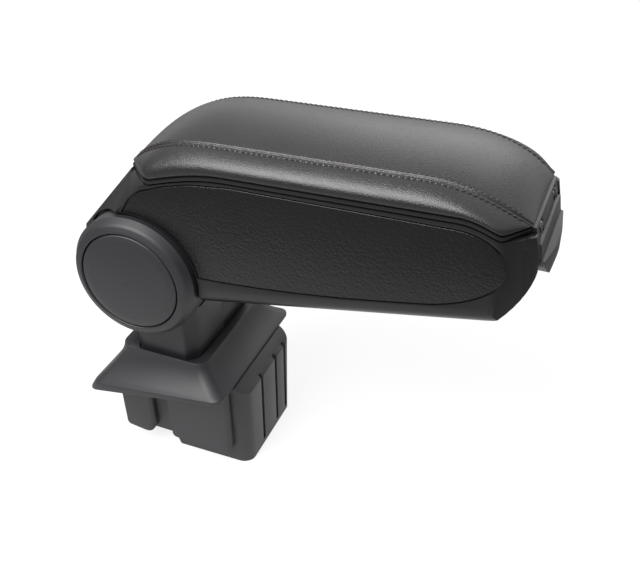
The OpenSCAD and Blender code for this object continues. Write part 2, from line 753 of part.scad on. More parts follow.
// Steel bracket: two side plates, bent up from a foot
bracket_low = -pivot_h + shelf_h;
module stalk_bracket() color(plated_steel) at_pivot() difference() {
  union() {
    for (s = [-1, 1]) {
      y0 = s > 0 ? plate_y : -plate_y - plate_t;
      along_y(y0, y0 + plate_t, plate_r);
      translate([neck_rear + stalk_wall + part_fit, y0, bracket_low])
        cube([neck_l - 2 * stalk_wall - 2 * part_fit, plate_t, -bracket_low]);
    }
    translate([neck_rear + stalk_wall + part_fit, -plate_y - plate_t, bracket_low])
      cube([neck_l - 2 * stalk_wall - 2 * part_fit, 2 * plate_y + 2 * plate_t, plate_t]);
  }
  along_y(-60, 60, bolt_d / 2 + run_fit);
  at_bracket_screws() translate([0, 0, -1 - plate_t]) cylinder(h = 10, r = 3.2);
}
module at_bracket_screws() {
  for (k = [-1, 1], s = [-1, 1])
    translate([neck_rear + neck_l / 2 + k * 13, s * 22, bracket_low + plate_t]) children();
}

// Pivot covers: a ring with a full shoulder, and the domed disc that snaps into it
module cover_ring(side) color(moulded_grey) at_pivot() rotate([side > 0 ? -90 : 90, 0, 0])
  rotate_extrude() polygon(rounded([
    [disc_r - 4, cheek_out, 0], [drum_r, cheek_out, 0], [drum_r, cheek_out + 2, 0.8],
    [drum_r - 3.6, cover_face_y - 2.6, 5], [disc_r + 0.6, cover_face_y, 1.2],
    [disc_r + 0.6, cheek_out + 3, 0], [disc_r - 4, cheek_out + 3, 0]
  ], 8));
module cover_ring_left() cover_ring(1);
module cover_ring_right() cover_ring(-1);
dome = 2.2;
module cover_disc(side) color(moulded_grey) at_pivot() rotate([side > 0 ? -90 : 90, 0, 0])
  rotate_extrude() polygon(concat(
    [[disc_r - 2.8, cheek_out + 3], [disc_r - 0.2, cheek_out + 3]],
    corner([disc_r - 0.2, cheek_out], [disc_r - 0.2, cover_face_y - 0.6, 1.5], [0, cover_face_y + 0.6], 5),
    [for (k = [7:-1:0]) [disc_r * k / 8, cover_face_y + dome * (1 - k * k / 64)]],
    [for (k = [0:6]) [disc_r * k / 8, cover_face_y - 2.6 + dome * (1 - k * k / 64)]],
    [[disc_r - 2.8, cover_face_y - 4.5]]
  ));
module cover_disc_left() cover_disc(1);
module cover_disc_right() cover_disc(-1);

// Pivot hardware
module pivot_tube() color(plated_steel) at_pivot() difference() {
  along_y(-barrel_y, barrel_y, tube_r);
  along_y(-50, 50, bolt_d / 2 + run_fit);
}
head_h = 6;
washer_t = 1;
spring_washer_t = 2.2;
module pivot_bolt() color(plated_steel) at_pivot() {
  along_y(-plate_y - plate_t, plate_y + plate_t + 14, bolt_d / 2);
  difference() {
    along_y(-plate_y - plate_t - head_h, -plate_y - plate_t, bolt_d * 0.85, $fn = 6);
    along_y(-plate_y - plate_t - head_h - 1, -plate_y - plate_t - head_h + 2.5, bolt_d * 0.35);
  }
}
module pivot_nut() color(plated_steel) at_pivot() difference() {
  along_y(plate_y + plate_t + spring_washer_t, plate_y + plate_t + spring_washer_t + 8, bolt_d * 0.95, $fn = 6);
  along_y(0, 80, bolt_d / 2 + run_fit);
}
module spring_washer() color(spring_steel) at_pivot() difference() {
  along_y(plate_y + plate_t, plate_y + plate_t + spring_washer_t, bolt_d * 0.9);
  along_y(0, 80, bolt_d / 2 + 0.2);
  translate([0, plate_y, -0.6]) cube([20, 20, 1.2]);
}
module friction_washers() color([0.45, 0.30, 0.18]) at_pivot() for (s = [-1, 1]) difference() {
  along_y(s > 0 ? barrel_y + 0.1 : -plate_y, s > 0 ? plate_y : -barrel_y - 0.1, hub_r - 0.5);
  along_y(-60, 60, bolt_d / 2 + 0.2);
}

// Collar: rings that flare from the rim round the neck to the tilted lower edge
collar_wall = 2.5;
collar_lip = 3;
collar_steps = 8;
collar_top = -77;
edge_x0 = -51;
edge_x1 = 68;
function collar_edge(x) = -collar_drop + tan(collar_slope) * (x - 60);
function collar_foot(x) = -collar_drop - collar_lip + tan(foot_slope) * (x - 60);
function collar_hem(inset) = [
  for (p = rounded([
    [edge_x0 - 5 + inset, -collar_y + inset, 9 - inset], [edge_x1 - inset, -collar_y + inset, 9 - inset],
    [edge_x1 - inset, collar_y - inset, 9 - inset], [edge_x0 - 5 + inset, collar_y - inset, 9 - inset]
  ])) [p[0], p[1], collar_foot(p[0])]
];
function collar_ring(t, inset) =
  let (
    s = pow(t, 1.7),
    x0 = neck_rear - 12.5 + (edge_x0 - neck_rear + 12.5) * s + inset,
    x1 = neck_front + 9 + (edge_x1 - neck_front - 9) * s - inset,
    y = neck_y + 4 + (collar_y - neck_y - 4) * s - inset
  )
  [for (p = rounded([[x0, -y, 9 - inset], [x1, -y, 9 - inset], [x1, y, 9 - inset], [x0, y, 9 - inset]]))
    [p[0], p[1], (collar_top - 0.02 * (p[0] - 60)) * (1 - t) + collar_edge(p[0]) * t]];
function collar_mouth(drop) =
  [for (p = rounded([
    [neck_rear - part_fit, -neck_y - part_fit, 8], [neck_front + part_fit, -neck_y - part_fit, 12],
    [neck_front + part_fit, neck_y + part_fit, 12], [neck_rear - part_fit, neck_y + part_fit, 8]
  ])) [p[0], p[1], collar_top - 1 - drop]];
module base_collar() color(moulded_grey) at_pivot() skin(concat(
  [collar_mouth(collar_wall), collar_mouth(0)],
  [for (k = [0:collar_steps]) collar_ring(k / collar_steps, 0)],
  [collar_hem(0), collar_hem(collar_wall)],
  [for (k = [collar_steps:-1:0]) [for (p = collar_ring(k / collar_steps, collar_wall)) p - [0, 0, k > 0 ? 0 : collar_wall]]]
), true);

// Everything above the plug's deck, whose top is the given height over the collar's hem
deck_t2 = 2.5;
module deck_halfspace(t) {
  across(300) polygon([
    [-150, collar_foot(-150) + t], [150, collar_foot(150) + t],
    [150, 200], [-150, 200]
  ]);
}

// Plug: walls with draft, a deep front core, a shallower rear and a sloped front shoulder
plug_x1 = core_l / 2;
plug_x0 = plug_x1 - plug_l;
function deck_z(x) = pivot_h + collar_foot(x + pivot_back);
function plug_half(z) = plug_y - plug_draft * (1 - z / plug_h);
function plug_ring(z, inset) =
  let (y = plug_half(z) - inset, x0 = plug_x0 + inset, x1 = plug_x1 - inset)
  [for (p = rounded([[x0, -y, 8 - inset], [x1, -y, 11 - inset], [x1, y, 11 - inset], [x0, y, 8 - inset]]))
    [p[0], p[1], z]];
shoulder_x = edge_x1 - pivot_back + 0.5;
module plug_profile() {
  across(200) polygon(rounded([
    [plug_x0, deck_z(plug_x0) + 1, 0], [shoulder_x - 4, deck_z(shoulder_x - 4) + 1, 0],
    [shoulder_x - 4, deck_z(shoulder_x - 4) - 0.15, 0], [shoulder_x, deck_z(shoulder_x) - 0.15, 0],
    [plug_x1, plug_h, 1.5], [plug_x1, 0, 2], [-core_l / 2, 0, 2],
    [-core_l / 2 - 4, rear_step - 1, 3], [plug_x0 + 6, rear_step, 4], [plug_x0, 50, 20]
  ]));
}
pad_spans = [[plug_x0 + 3, plug_x0 + 34], [plug_x1 - 73, plug_x1 - 14]];
module plug_pads() {
  for (span = pad_spans)
    intersection() {
      across(2 * (plug_y + pad_proud)) polygon(rounded([
        [span[0], 100, 0], [span[1], 100, 0], [span[1], 11, 9], [span[0] + 4, 15, 4]
      ]));
      translate([0, 0, -1]) linear_extrude(120) polygon(rounded([
        [span[0], -plug_y - pad_proud, 3], [span[1], -plug_y - pad_proud, 4],
        [span[1], plug_y + pad_proud, 4], [span[0], plug_y + pad_proud, 3]
      ]));
    }
}
// Upright grooves in the plug's front, each with a rib of the wall behind it
groove_y = [-15, 12, 30];
groove_deep = 3;
module plug_grooves() {
  for (y = groove_y)
    translate([plug_x1 - groove_deep, y - 2, 2 * foot_t]) cube([8, 4, plug_h + 10]);
}
module groove_ribs() {
  for (y = groove_y)
    translate([plug_x1 - plug_wall - groove_deep, y - 4.5, foot_t]) cube([groove_deep + 1, 9, plug_h]);
}
boss_at = [20, 28];
module at_foot_screws() {
  for (sx = [-1, 1], sy = [-1, 1])
    translate([sx * boss_at[0], sy * boss_at[1], 0]) children();
}
module plug_cells() {
  difference() {
    skin([plug_ring(-1, plug_wall), plug_ring(110, plug_wall)]);
    translate([-200, -100, shelf_h - 4]) cube([400, 200, 4]);
    translate([-core_l / 2, -100, -10]) cube([plug_wall, 200, shelf_h]);
    for (x = [-12, 12]) translate([x - 1.2, -100, foot_t]) cube([2.4, 200, shelf_h - foot_t]);
    translate([-200, -1.2, foot_t]) cube([400, 2.4, shelf_h - foot_t]);
    groove_ribs();
    at_foot_screws() translate([0, 0, foot_t]) cylinder(h = shelf_h - foot_t, r = 6);
    translate([-pivot_back, 0, pivot_h]) at_bracket_screws()
      translate([0, 0, -plate_t - 20]) cylinder(h = 20, r = 7);
    across(200) polygon([
      [plug_x0, 200], [plug_x0, deck_z(plug_x0)], [shoulder_x - 5, deck_z(shoulder_x - 5) - 0.1],
      [shoulder_x, deck_z(shoulder_x) - plug_wall], [plug_x1, plug_h - plug_wall - 0.5], [plug_x1, 200]
    ]);
  }
}
module base_plug() color(moulded_grey) difference() {
  union() {
    difference() {
      intersection() {
        plug_profile();
        union() {
          skin([plug_ring(-1, 0), plug_ring(110, 0)]);
          plug_pads();
        }
      }
      plug_cells();
      plug_grooves();
    }
    intersection() {
      across(2 * collar_y) polygon([
        [edge_x0 - pivot_back, deck_z(edge_x0 - pivot_back)], [edge_x1 - pivot_back, deck_z(edge_x1 - pivot_back)],
        [edge_x1 - pivot_back, deck_z(edge_x1 - pivot_back) + deck_t2],
        [edge_x0 - pivot_back, deck_z(edge_x0 - pivot_back) + deck_t2]
      ]);
      linear_extrude(200) let (
        x0 = edge_x0 - pivot_back + collar_wall + seat_fit,
        x1 = edge_x1 - pivot_back - collar_wall - seat_fit,
        y = collar_y - collar_wall - seat_fit
      ) polygon(rounded([[x0, -y, 6], [x1, -y, 6], [x1, y, 6], [x0, y, 6]]));
    }
  }
  translate([neck_rear + stalk_wall - pivot_back, -plate_y - plate_t - part_fit, shelf_h])
    cube([neck_l - 2 * stalk_wall, 2 * (plate_y + plate_t + part_fit), 80]);
  at_foot_screws() translate([0, 0, -1]) cylinder(h = 20, r = 2.4);
  translate([-pivot_back, 0, pivot_h]) at_bracket_screws() translate([0, 0, -20]) cylinder(h = 30, r = 3);
}

module foot_plate() color(plated_steel) difference() {
  linear_extrude(foot_t) let (
    x = core_l / 2 - plug_wall - part_fit,
    y = plug_half(0) - plug_wall - part_fit
  ) polygon(rounded([[-x, -y, 2], [x, -y, 8], [x, y, 8], [-x, y, 2]]));
  for (s = [-1, 1]) translate([0, s * fixing_pitch / 2, -1]) cylinder(h = 10, r = fixing_d / 2);
  at_foot_screws() {
    translate([0, 0, -1]) cylinder(h = 10, r = 2.6);
    translate([0, 0, -0.01]) cylinder(h = 2.6, r1 = 5, r2 = 2.4);
  }
}

// Countersunk screws that hold the foot plate to the plug
module foot_screws() color(plated_steel) at_foot_screws() difference() {
  union() {
    cylinder(h = 18, r = 2.35);
    cylinder(h = 2.4, r1 = 4.7, r2 = 2.35);
  }
  translate([0, 0, -1]) cylinder(h = 2.4, r = 1.8, $fn = 6);
}

module bracket_screws() color(plated_steel) at_pivot() at_bracket_screws()
  pan_screw(6 - 2 * run_fit, 16, 5.5, 4);

box_shell();
side_panel_left();
side_panel_right();
storage_liner();
liner_screws();
nose_corner_left();
nose_corner_right();
latch_bezel();
striker_clip();
lid_carrier();
lid_cushion();
lid_liner();
lid_liner_screws();
hinge_pin_left();
hinge_pin_right();
latch_paddle();
latch_pin();
latch_spring_left();
latch_spring_right();
stalk_shell_left();
stalk_shell_right();
stalk_bracket();
cover_ring_left();
cover_ring_right();
cover_disc_left();
cover_disc_right();
pivot_bolt();
pivot_nut();
pivot_tube();
friction_washers();
spring_washer();
base_collar();
base_plug();
foot_plate();
foot_screws();
bracket_screws();
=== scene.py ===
"""Looks of a car centre armrest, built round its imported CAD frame.

The armrest is a padded, latched lid on a storage box that tilts on a forked
stalk. The stalk stands in a flared collar over a ribbed plug. Lengths in the
classes are millimetres in the pivot frame, whose origin is on the pivot axis;
`to_row` turns them into metres in the row frame.
"""

import logging
import math
from dataclasses import dataclass, field
from enum import Enum

import bpy
import numpy as np
from mathutils import Matrix, Vector


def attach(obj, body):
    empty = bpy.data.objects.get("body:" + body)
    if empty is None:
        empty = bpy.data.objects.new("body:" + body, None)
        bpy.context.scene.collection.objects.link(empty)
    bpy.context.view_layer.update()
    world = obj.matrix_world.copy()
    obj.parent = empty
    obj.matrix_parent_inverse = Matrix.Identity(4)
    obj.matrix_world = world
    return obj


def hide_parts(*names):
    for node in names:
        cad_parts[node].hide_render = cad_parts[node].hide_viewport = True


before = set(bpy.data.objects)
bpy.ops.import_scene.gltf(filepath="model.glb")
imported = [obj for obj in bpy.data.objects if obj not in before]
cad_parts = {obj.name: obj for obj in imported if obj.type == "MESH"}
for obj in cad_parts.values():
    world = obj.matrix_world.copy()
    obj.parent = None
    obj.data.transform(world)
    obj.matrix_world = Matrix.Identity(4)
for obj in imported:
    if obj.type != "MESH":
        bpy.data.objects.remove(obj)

LOG = logging.getLogger("armrest")
MM = 0.001
PIVOT_BACK = 45.5
PIVOT_HEIGHT = 181.0
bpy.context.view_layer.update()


def to_row(points: np.ndarray) -> np.ndarray:
    """Turns points in the pivot frame into the row frame.

    Args:
        points: An array whose last axis is x, y, z in millimetres.

    Returns:
        The same points in metres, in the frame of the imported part.
    """
    return (np.asarray(points, float) + np.array([-PIVOT_BACK, 0.0, PIVOT_HEIGHT])) * MM


class Body(Enum):
    """The four moving groups of the part, by the record's names."""

    BASE = "base"
    ARM = "arm"
    LID = "lid"
    LATCH = "latch"


def linear(hex_colour: str) -> tuple[float, float, float, float]:
    """Turns an sRGB hex value into linear colour.

    Args:
        hex_colour: Six hex digits with a leading hash.

    Returns:
        Red, green, blue and alpha for a shader socket.
    """
    channels = [int(hex_colour[i:i + 2], 16) / 255 for i in (1, 3, 5)]
    scaled = [c / 12.92 if c <= 0.04045 else ((c + 0.055) / 1.055) ** 2.4 for c in channels]
    return (*scaled, 1.0)


def add_node(tree: bpy.types.NodeTree, kind: str, settings: dict | None = None,
             links: dict | None = None) -> bpy.types.Node:
    """Adds one shader node with its settings and incoming links.

    Args:
        tree: The node tree that gets the node.
        kind: The node's type name.
        settings: Attributes, and input sockets by name or number, to set.
        links: Output sockets to link, by the input's name or number.

    Returns:
        The new node.
    """
    node = tree.nodes.new(kind)
    for key, value in (settings or {}).items():
        if isinstance(key, int) or key in node.inputs:
            node.inputs[key].default_value = value
        else:
            setattr(node, key, value)
    for key, output in (links or {}).items():
        tree.links.new(output, node.inputs[key])
    return node


@dataclass(frozen=True)
class Finish:
    """A surface finish: what it is, how it was made and how it takes the light."""

    name: str
    colour: str
    roughness: float
    metallic: float = 0.0
    ior: float | None = 1.5
    gloss: float = 0.5

    def build(self) -> bpy.types.Material:
        """Builds the material with its pattern nodes and returns it."""
        material = bpy.data.materials.new(self.name)
        material.use_nodes = True
        tree = material.node_tree
        tree.nodes.clear()
        shader = add_node(tree, "ShaderNodeBsdfPrincipled", {
            "Metallic": self.metallic, "Roughness": self.roughness,
            "Base Color": linear(self.colour)})
        if self.ior is not None:
            shader.inputs["IOR"].default_value = self.ior
            shader.inputs["Specular IOR Level"].default_value = self.gloss
        add_node(tree, "ShaderNodeOutputMaterial", links={"Surface": shader.outputs[0]})
        place = add_node(tree, "ShaderNodeTexCoord").outputs["Object"]
        self.dress(tree, shader, place)
        return material

    def dress(self, tree: bpy.types.NodeTree, shader: bpy.types.Node,
              place: bpy.types.NodeSocket) -> None:
        """Adds the finish's own pattern to the shader; the plain finish adds none."""

    def mottle(self, tree: bpy.types.NodeTree, shader: bpy.types.Node,
               place: bpy.types.NodeSocket, size_mm: float, amount: float) -> None:
        """Varies colour and roughness in soft patches, as handling and moulding leave them.

        Args:
            tree: The material's node tree.
            shader: The principled shader.
            place: The coordinate output to draw from.
            size_mm: Size of a patch.
            amount: Share by which the colour and roughness vary.
        """
        patch = add_node(tree, "ShaderNodeTexNoise", {
            "Scale": 1 / (size_mm * MM), "Detail": 3.0, "Roughness": 0.55}, {"Vector": place})
        base = linear(self.colour)
        dark = tuple(c * (1 - amount) for c in base[:3]) + (1.0,)
        light = tuple(c * (1 + amount) for c in base[:3]) + (1.0,)
        mix = add_node(tree, "ShaderNodeMix", {
            "data_type": "RGBA", 6: dark, 7: light}, {0: patch.outputs["Fac"]})
        tree.links.new(mix.outputs[2], shader.inputs["Base Color"])
        rough = add_node(tree, "ShaderNodeMapRange", {
            "From Min": 0.3, "From Max": 0.7,
            "To Min": self.roughness * (1 - amount / 2), "To Max": self.roughness * (1 + amount / 2)},
            {"Value": patch.outputs["Fac"]})
        tree.links.new(rough.outputs["Result"], shader.inputs["Roughness"])


@dataclass(frozen=True)
class Leatherette(Finish):
    """PVC leather cloth, calendered with a grain and wrapped over foam.

    The grain breaks the lamp's reflection into a broad soft sheen.
    """

    cell_mm: float = 1.6
    depth_mm: float = 0.10
    pore_mm: float = 0.5

    def dress(self, tree: bpy.types.NodeTree, shader: bpy.types.Node,
              place: bpy.types.NodeSocket) -> None:
        """Adds creases between rounded grain cells, and pores on them."""
        self.mottle(tree, shader, place, 38.0, 0.16)
        warp = add_node(tree, "ShaderNodeTexNoise", {
            "Scale": 1 / (5 * MM), "Detail": 2.0}, {"Vector": place})
        shift = add_node(tree, "ShaderNodeVectorMath", {
            "operation": "SCALE", "Scale": 1.4 * MM}, {0: warp.outputs["Color"]})
        moved = add_node(tree, "ShaderNodeVectorMath", {"operation": "ADD"},
                         {0: place, 1: shift.outputs[0]})
        cells = add_node(tree, "ShaderNodeTexVoronoi", {
            "feature": "DISTANCE_TO_EDGE", "Scale": 1 / (self.cell_mm * MM)},
            {"Vector": moved.outputs[0]})
        crease = add_node(tree, "ShaderNodeMapRange", {
            "interpolation_type": "SMOOTHSTEP", "From Min": 0.0, "From Max": 0.22},
            {"Value": cells.outputs["Distance"]})
        grain = add_node(tree, "ShaderNodeBump", {
            "Strength": 0.5, "Distance": self.depth_mm * MM}, {"Height": crease.outputs["Result"]})
        pores = add_node(tree, "ShaderNodeTexNoise", {
            "Scale": 1 / (self.pore_mm * MM), "Detail": 4.0, "Roughness": 0.65}, {"Vector": place})
        fine = add_node(tree, "ShaderNodeBump", {
            "Strength": 0.3, "Distance": 0.05 * MM},
            {"Height": pores.outputs["Fac"], "Normal": grain.outputs["Normal"]})
        tree.links.new(fine.outputs["Normal"], shader.inputs["Normal"])


@dataclass(frozen=True)
class MouldedPlastic(Finish):
    """Injection moulded polypropylene from a spark-eroded tool.

    The even fine pitting gives a soft matte light with no sharp reflection.
    """

    grit_mm: float = 0.7
    depth_mm: float = 0.03

    def dress(self, tree: bpy.types.NodeTree, shader: bpy.types.Node,
              place: bpy.types.NodeSocket) -> None:
        """Adds the tool's pitting; real pits are half as wide, too fine to show."""
        self.mottle(tree, shader, place, 45.0, 0.12)
        pits = add_node(tree, "ShaderNodeTexNoise", {
            "Scale": 1 / (self.grit_mm * MM), "Detail": 3.0, "Roughness": 0.6}, {"Vector": place})
        bump = add_node(tree, "ShaderNodeBump", {
            "Strength": 0.5, "Distance": self.depth_mm * MM}, {"Height": pits.outputs["Fac"]})
        tree.links.new(bump.outputs["Normal"], shader.inputs["Normal"])


@dataclass(frozen=True)
class GrainedPlastic(Finish):
    """Polypropylene moulded in a tool etched with a pebbled leather grain.

    The pebbles catch small lights all over an otherwise black side.
    """

    pebble_mm: float = 2.1
    depth_mm: float = 0.3

    def dress(self, tree: bpy.types.NodeTree, shader: bpy.types.Node,
              place: bpy.types.NodeSocket) -> None:
        """Adds pebbles of two sizes with sunk creases between them."""
        self.mottle(tree, shader, place, 30.0, 0.14)
        warp = add_node(tree, "ShaderNodeTexNoise", {
            "Scale": 1 / (4 * MM), "Detail": 2.0}, {"Vector": place})
        shift = add_node(tree, "ShaderNodeVectorMath", {
            "operation": "SCALE", "Scale": 1.8 * MM}, {0: warp.outputs["Color"]})
        moved = add_node(tree, "ShaderNodeVectorMath", {"operation": "ADD"},
                         {0: place, 1: shift.outputs[0]})
        pebbles = add_node(tree, "ShaderNodeTexVoronoi", {
            "feature": "F1", "Scale": 1 / (self.pebble_mm * MM)}, {"Vector": moved.outputs[0]})
        coarse = add_node(tree, "ShaderNodeBump", {
            "Strength": 0.8, "Distance": self.depth_mm * MM, "invert": True},
            {"Height": pebbles.outputs["Distance"]})
        grit = add_node(tree, "ShaderNodeTexNoise", {
            "Scale": 1 / (0.8 * MM), "Detail": 3.0}, {"Vector": place})
        fine = add_node(tree, "ShaderNodeBump", {
            "Strength": 0.4, "Distance": 0.05 * MM},
            {"Height": grit.outputs["Fac"], "Normal": coarse.outputs["Normal"]})
        tree.links.new(fine.outputs["Normal"], shader.inputs["Normal"])


@dataclass(frozen=True)
class PlatedSteel(Finish):
    """Pressed or turned steel, barrel plated with zinc.

    Plating dulls the metal to a soft silver with faint streaks from pressing.
    """

    streak_mm: float = 0.4

    def dress(self, tree: bpy.types.NodeTree, shader: bpy.types.Node,
              place: bpy.types.NodeSocket) -> None:
        """Adds long faint streaks along X over soft patches."""
        self.mottle(tree, shader, place, 12.0, 0.12)
        stretched = add_node(tree, "ShaderNodeMapping", {"Scale": (0.08, 1.0, 1.0)}, {"Vector": place})
        streaks = add_node(tree, "ShaderNodeTexNoise", {
            "Scale": 1 / (self.streak_mm * MM), "Detail": 2.0}, {"Vector": stretched.outputs[0]})
        bump = add_node(tree, "ShaderNodeBump", {
            "Strength": 0.3, "Distance": 0.02 * MM}, {"Height": streaks.outputs["Fac"]})
        tree.links.new(bump.outputs["Normal"], shader.inputs["Normal"])


@dataclass(frozen=True)
class BondedThread(Finish):
    """Bonded polyester sewing thread, dark with a faint red cast.

    Its plies twist, so each stitch shows a fine slanted rib.
    """

    ply_mm: float = 0.5

    def dress(self, tree: bpy.types.NodeTree, shader: bpy.types.Node,
              place: bpy.types.NodeSocket) -> None:
        """Adds the slanted ribs of the plies."""
        self.mottle(tree, shader, place, 6.0, 0.2)
        ribs = add_node(tree, "ShaderNodeTexWave", {
            "bands_direction": "DIAGONAL", "Scale": 0.31 / (self.ply_mm * MM)}, {"Vector": place})
        bump = add_node(tree, "ShaderNodeBump", {
            "Strength": 0.6, "Distance": 0.08 * MM}, {"Height": ribs.outputs["Fac"]})
        tree.links.new(bump.outputs["Normal"], shader.inputs["Normal"])


# PVC leather cloth of the cushion: near black, with a broad grey sheen on the side bands
TOP_LEATHERETTE = Leatherette("Top_leatherette", "#1f1e1e", 0.32)
# Dark thread that shows as small dashes beside the seams
THREAD = BondedThread("Bonded_polyester_thread", "#2a1f20", 0.6)
# Satin box and carrier: black, with soft light along their rounded edges
BOX_PLASTIC = MouldedPlastic(
    "Satin_moulded_polypropylene", "#151516", 0.36, gloss=0.36, grit_mm=0.9, depth_mm=0.04)
# Side panels: the darkest surface, speckled by its grain
PANEL_PLASTIC = GrainedPlastic("Grained_moulded_polypropylene", "#0f0f10", 0.34, gloss=0.3)
# Stalk, covers, collar and plug: an even matte charcoal
STALK_PLASTIC = MouldedPlastic("Matte_moulded_polypropylene", "#1f1f22", 0.5)
# Liners and bezel: matte and nearly without light of their own
DARK_PLASTIC = MouldedPlastic("Black_moulded_polypropylene", "#131314", 0.5)
# Grip: a little greyer than the box round it
GRIP_PLASTIC = MouldedPlastic("Grip_moulded_polypropylene", "#323234", 0.48)
# Screws, pins and pressed steel: a dull silver
ZINC_PLATE = PlatedSteel("Zinc_plated_steel", "#c3c5c8", 0.34, metallic=1.0, ior=None)
# Springs and striker: darker than plating, with a wet edge of light from the oil
SPRING_STEEL = PlatedSteel("Oiled_spring_steel", "#8e9096", 0.3, metallic=1.0, ior=None)
# Friction washers: dry and brown, with no reflection
FIBRE = MouldedPlastic("Pressed_friction_fibre", "#6b5140", 0.8, grit_mm=1.2, depth_mm=0.08)

MATERIALS: dict[str, bpy.types.Material] = {
    finish.name: finish.build() for finish in (
        TOP_LEATHERETTE, THREAD, BOX_PLASTIC, PANEL_PLASTIC, STALK_PLASTIC, DARK_PLASTIC,
        GRIP_PLASTIC, ZINC_PLATE, SPRING_STEEL, FIBRE)}


def grid_mesh(name: str, rings: np.ndarray, closed: bool = True) -> bpy.types.Object:
    """Makes a mesh from rings of points.

    Args:
        name: The new piece's name.
        rings: Points in the row frame, as rings by points by 3.
        closed: Whether each ring closes on itself, and the first and last are filled.

    Returns:
        The new object, linked to the scene.
    """
    count, around = rings.shape[:2]
    faces = []
    for i in range(count - 1):
        for j in range(around if closed else around - 1):
            k = (j + 1) % around
            faces.append((i * around + j, i * around + k, (i + 1) * around + k, (i + 1) * around + j))
    if closed:
        faces.append(tuple(reversed(range(around))))
        faces.append(tuple((count - 1) * around + j for j in range(around)))
    mesh = bpy.data.meshes.new(name)
    mesh.from_pydata(rings.reshape(-1, 3).tolist(), [], faces)
    mesh.validate()
    mesh.shade_smooth()
    piece = bpy.data.objects.new(name, mesh)
    bpy.context.scene.collection.objects.link(piece)
    return piece


def smooth_line(stations: tuple[float, ...], values: tuple[float, ...], at: np.ndarray) -> np.ndarray:
    """Draws a smooth line through points, with no overshoot.

    Args:
        stations: Where the points are, rising.
        values: The line's value at each point.
        at: Where the line is wanted.

    Returns:
        The line's values there.
    """
    x, y = np.array(stations, float), np.array(values, float)
    step = np.diff(y) / np.diff(x)
    slope = np.concatenate([[step[0]], np.zeros(len(x) - 2), [step[-1]]])
    for i in range(1, len(x) - 1):
        if step[i - 1] * step[i] > 0:
            slope[i] = 2 * step[i - 1] * step[i] / (step[i - 1] + step[i])
    at = np.clip(at, x[0], x[-1])
    i = np.clip(np.searchsorted(x, at) - 1, 0, len(x) - 2)
    h = x[i + 1] - x[i]
    t = (at - x[i]) / h
    return ((1 + 2 * t) * (1 - t) ** 2 * y[i] + t * (1 - t) ** 2 * h * slope[i]
            + t * t * (3 - 2 * t) * y[i + 1] + t * t * (t - 1) * h * slope[i + 1])


@dataclass
class Rim:
    """The box's rim line that lid and cushion follow, in the pivot frame."""

    height: float = 92.6
    rise: float = 0.025
    rear_drop: float = 10.9
    front_drop: float = 8.4
    land_x: float = 20.0
    swoop_x: float = 78.0
    dip_x: float = 236.0
    corner_x: float = 264.0

    def line(self, x: np.ndarray) -> np.ndarray:
        """Gives the rim's rising base line, with no drop at its ends."""
        return self.height + self.rise * (x - 150)

    def at(self, x: np.ndarray) -> np.ndarray:
        """Gives the rim's height at each x."""
        rear = self.rear_drop * (1 - np.sin(np.clip(
            (x - self.land_x) / (self.swoop_x - self.land_x), 0, 1) * math.pi / 2))
        front = self.front_drop * (1 - np.cos(np.clip(
            (x - self.dip_x) / (self.corner_x - self.dip_x), 0, 1) * math.pi / 2))
        return self.line(np.clip(x, self.land_x, self.corner_x)) - rear - front


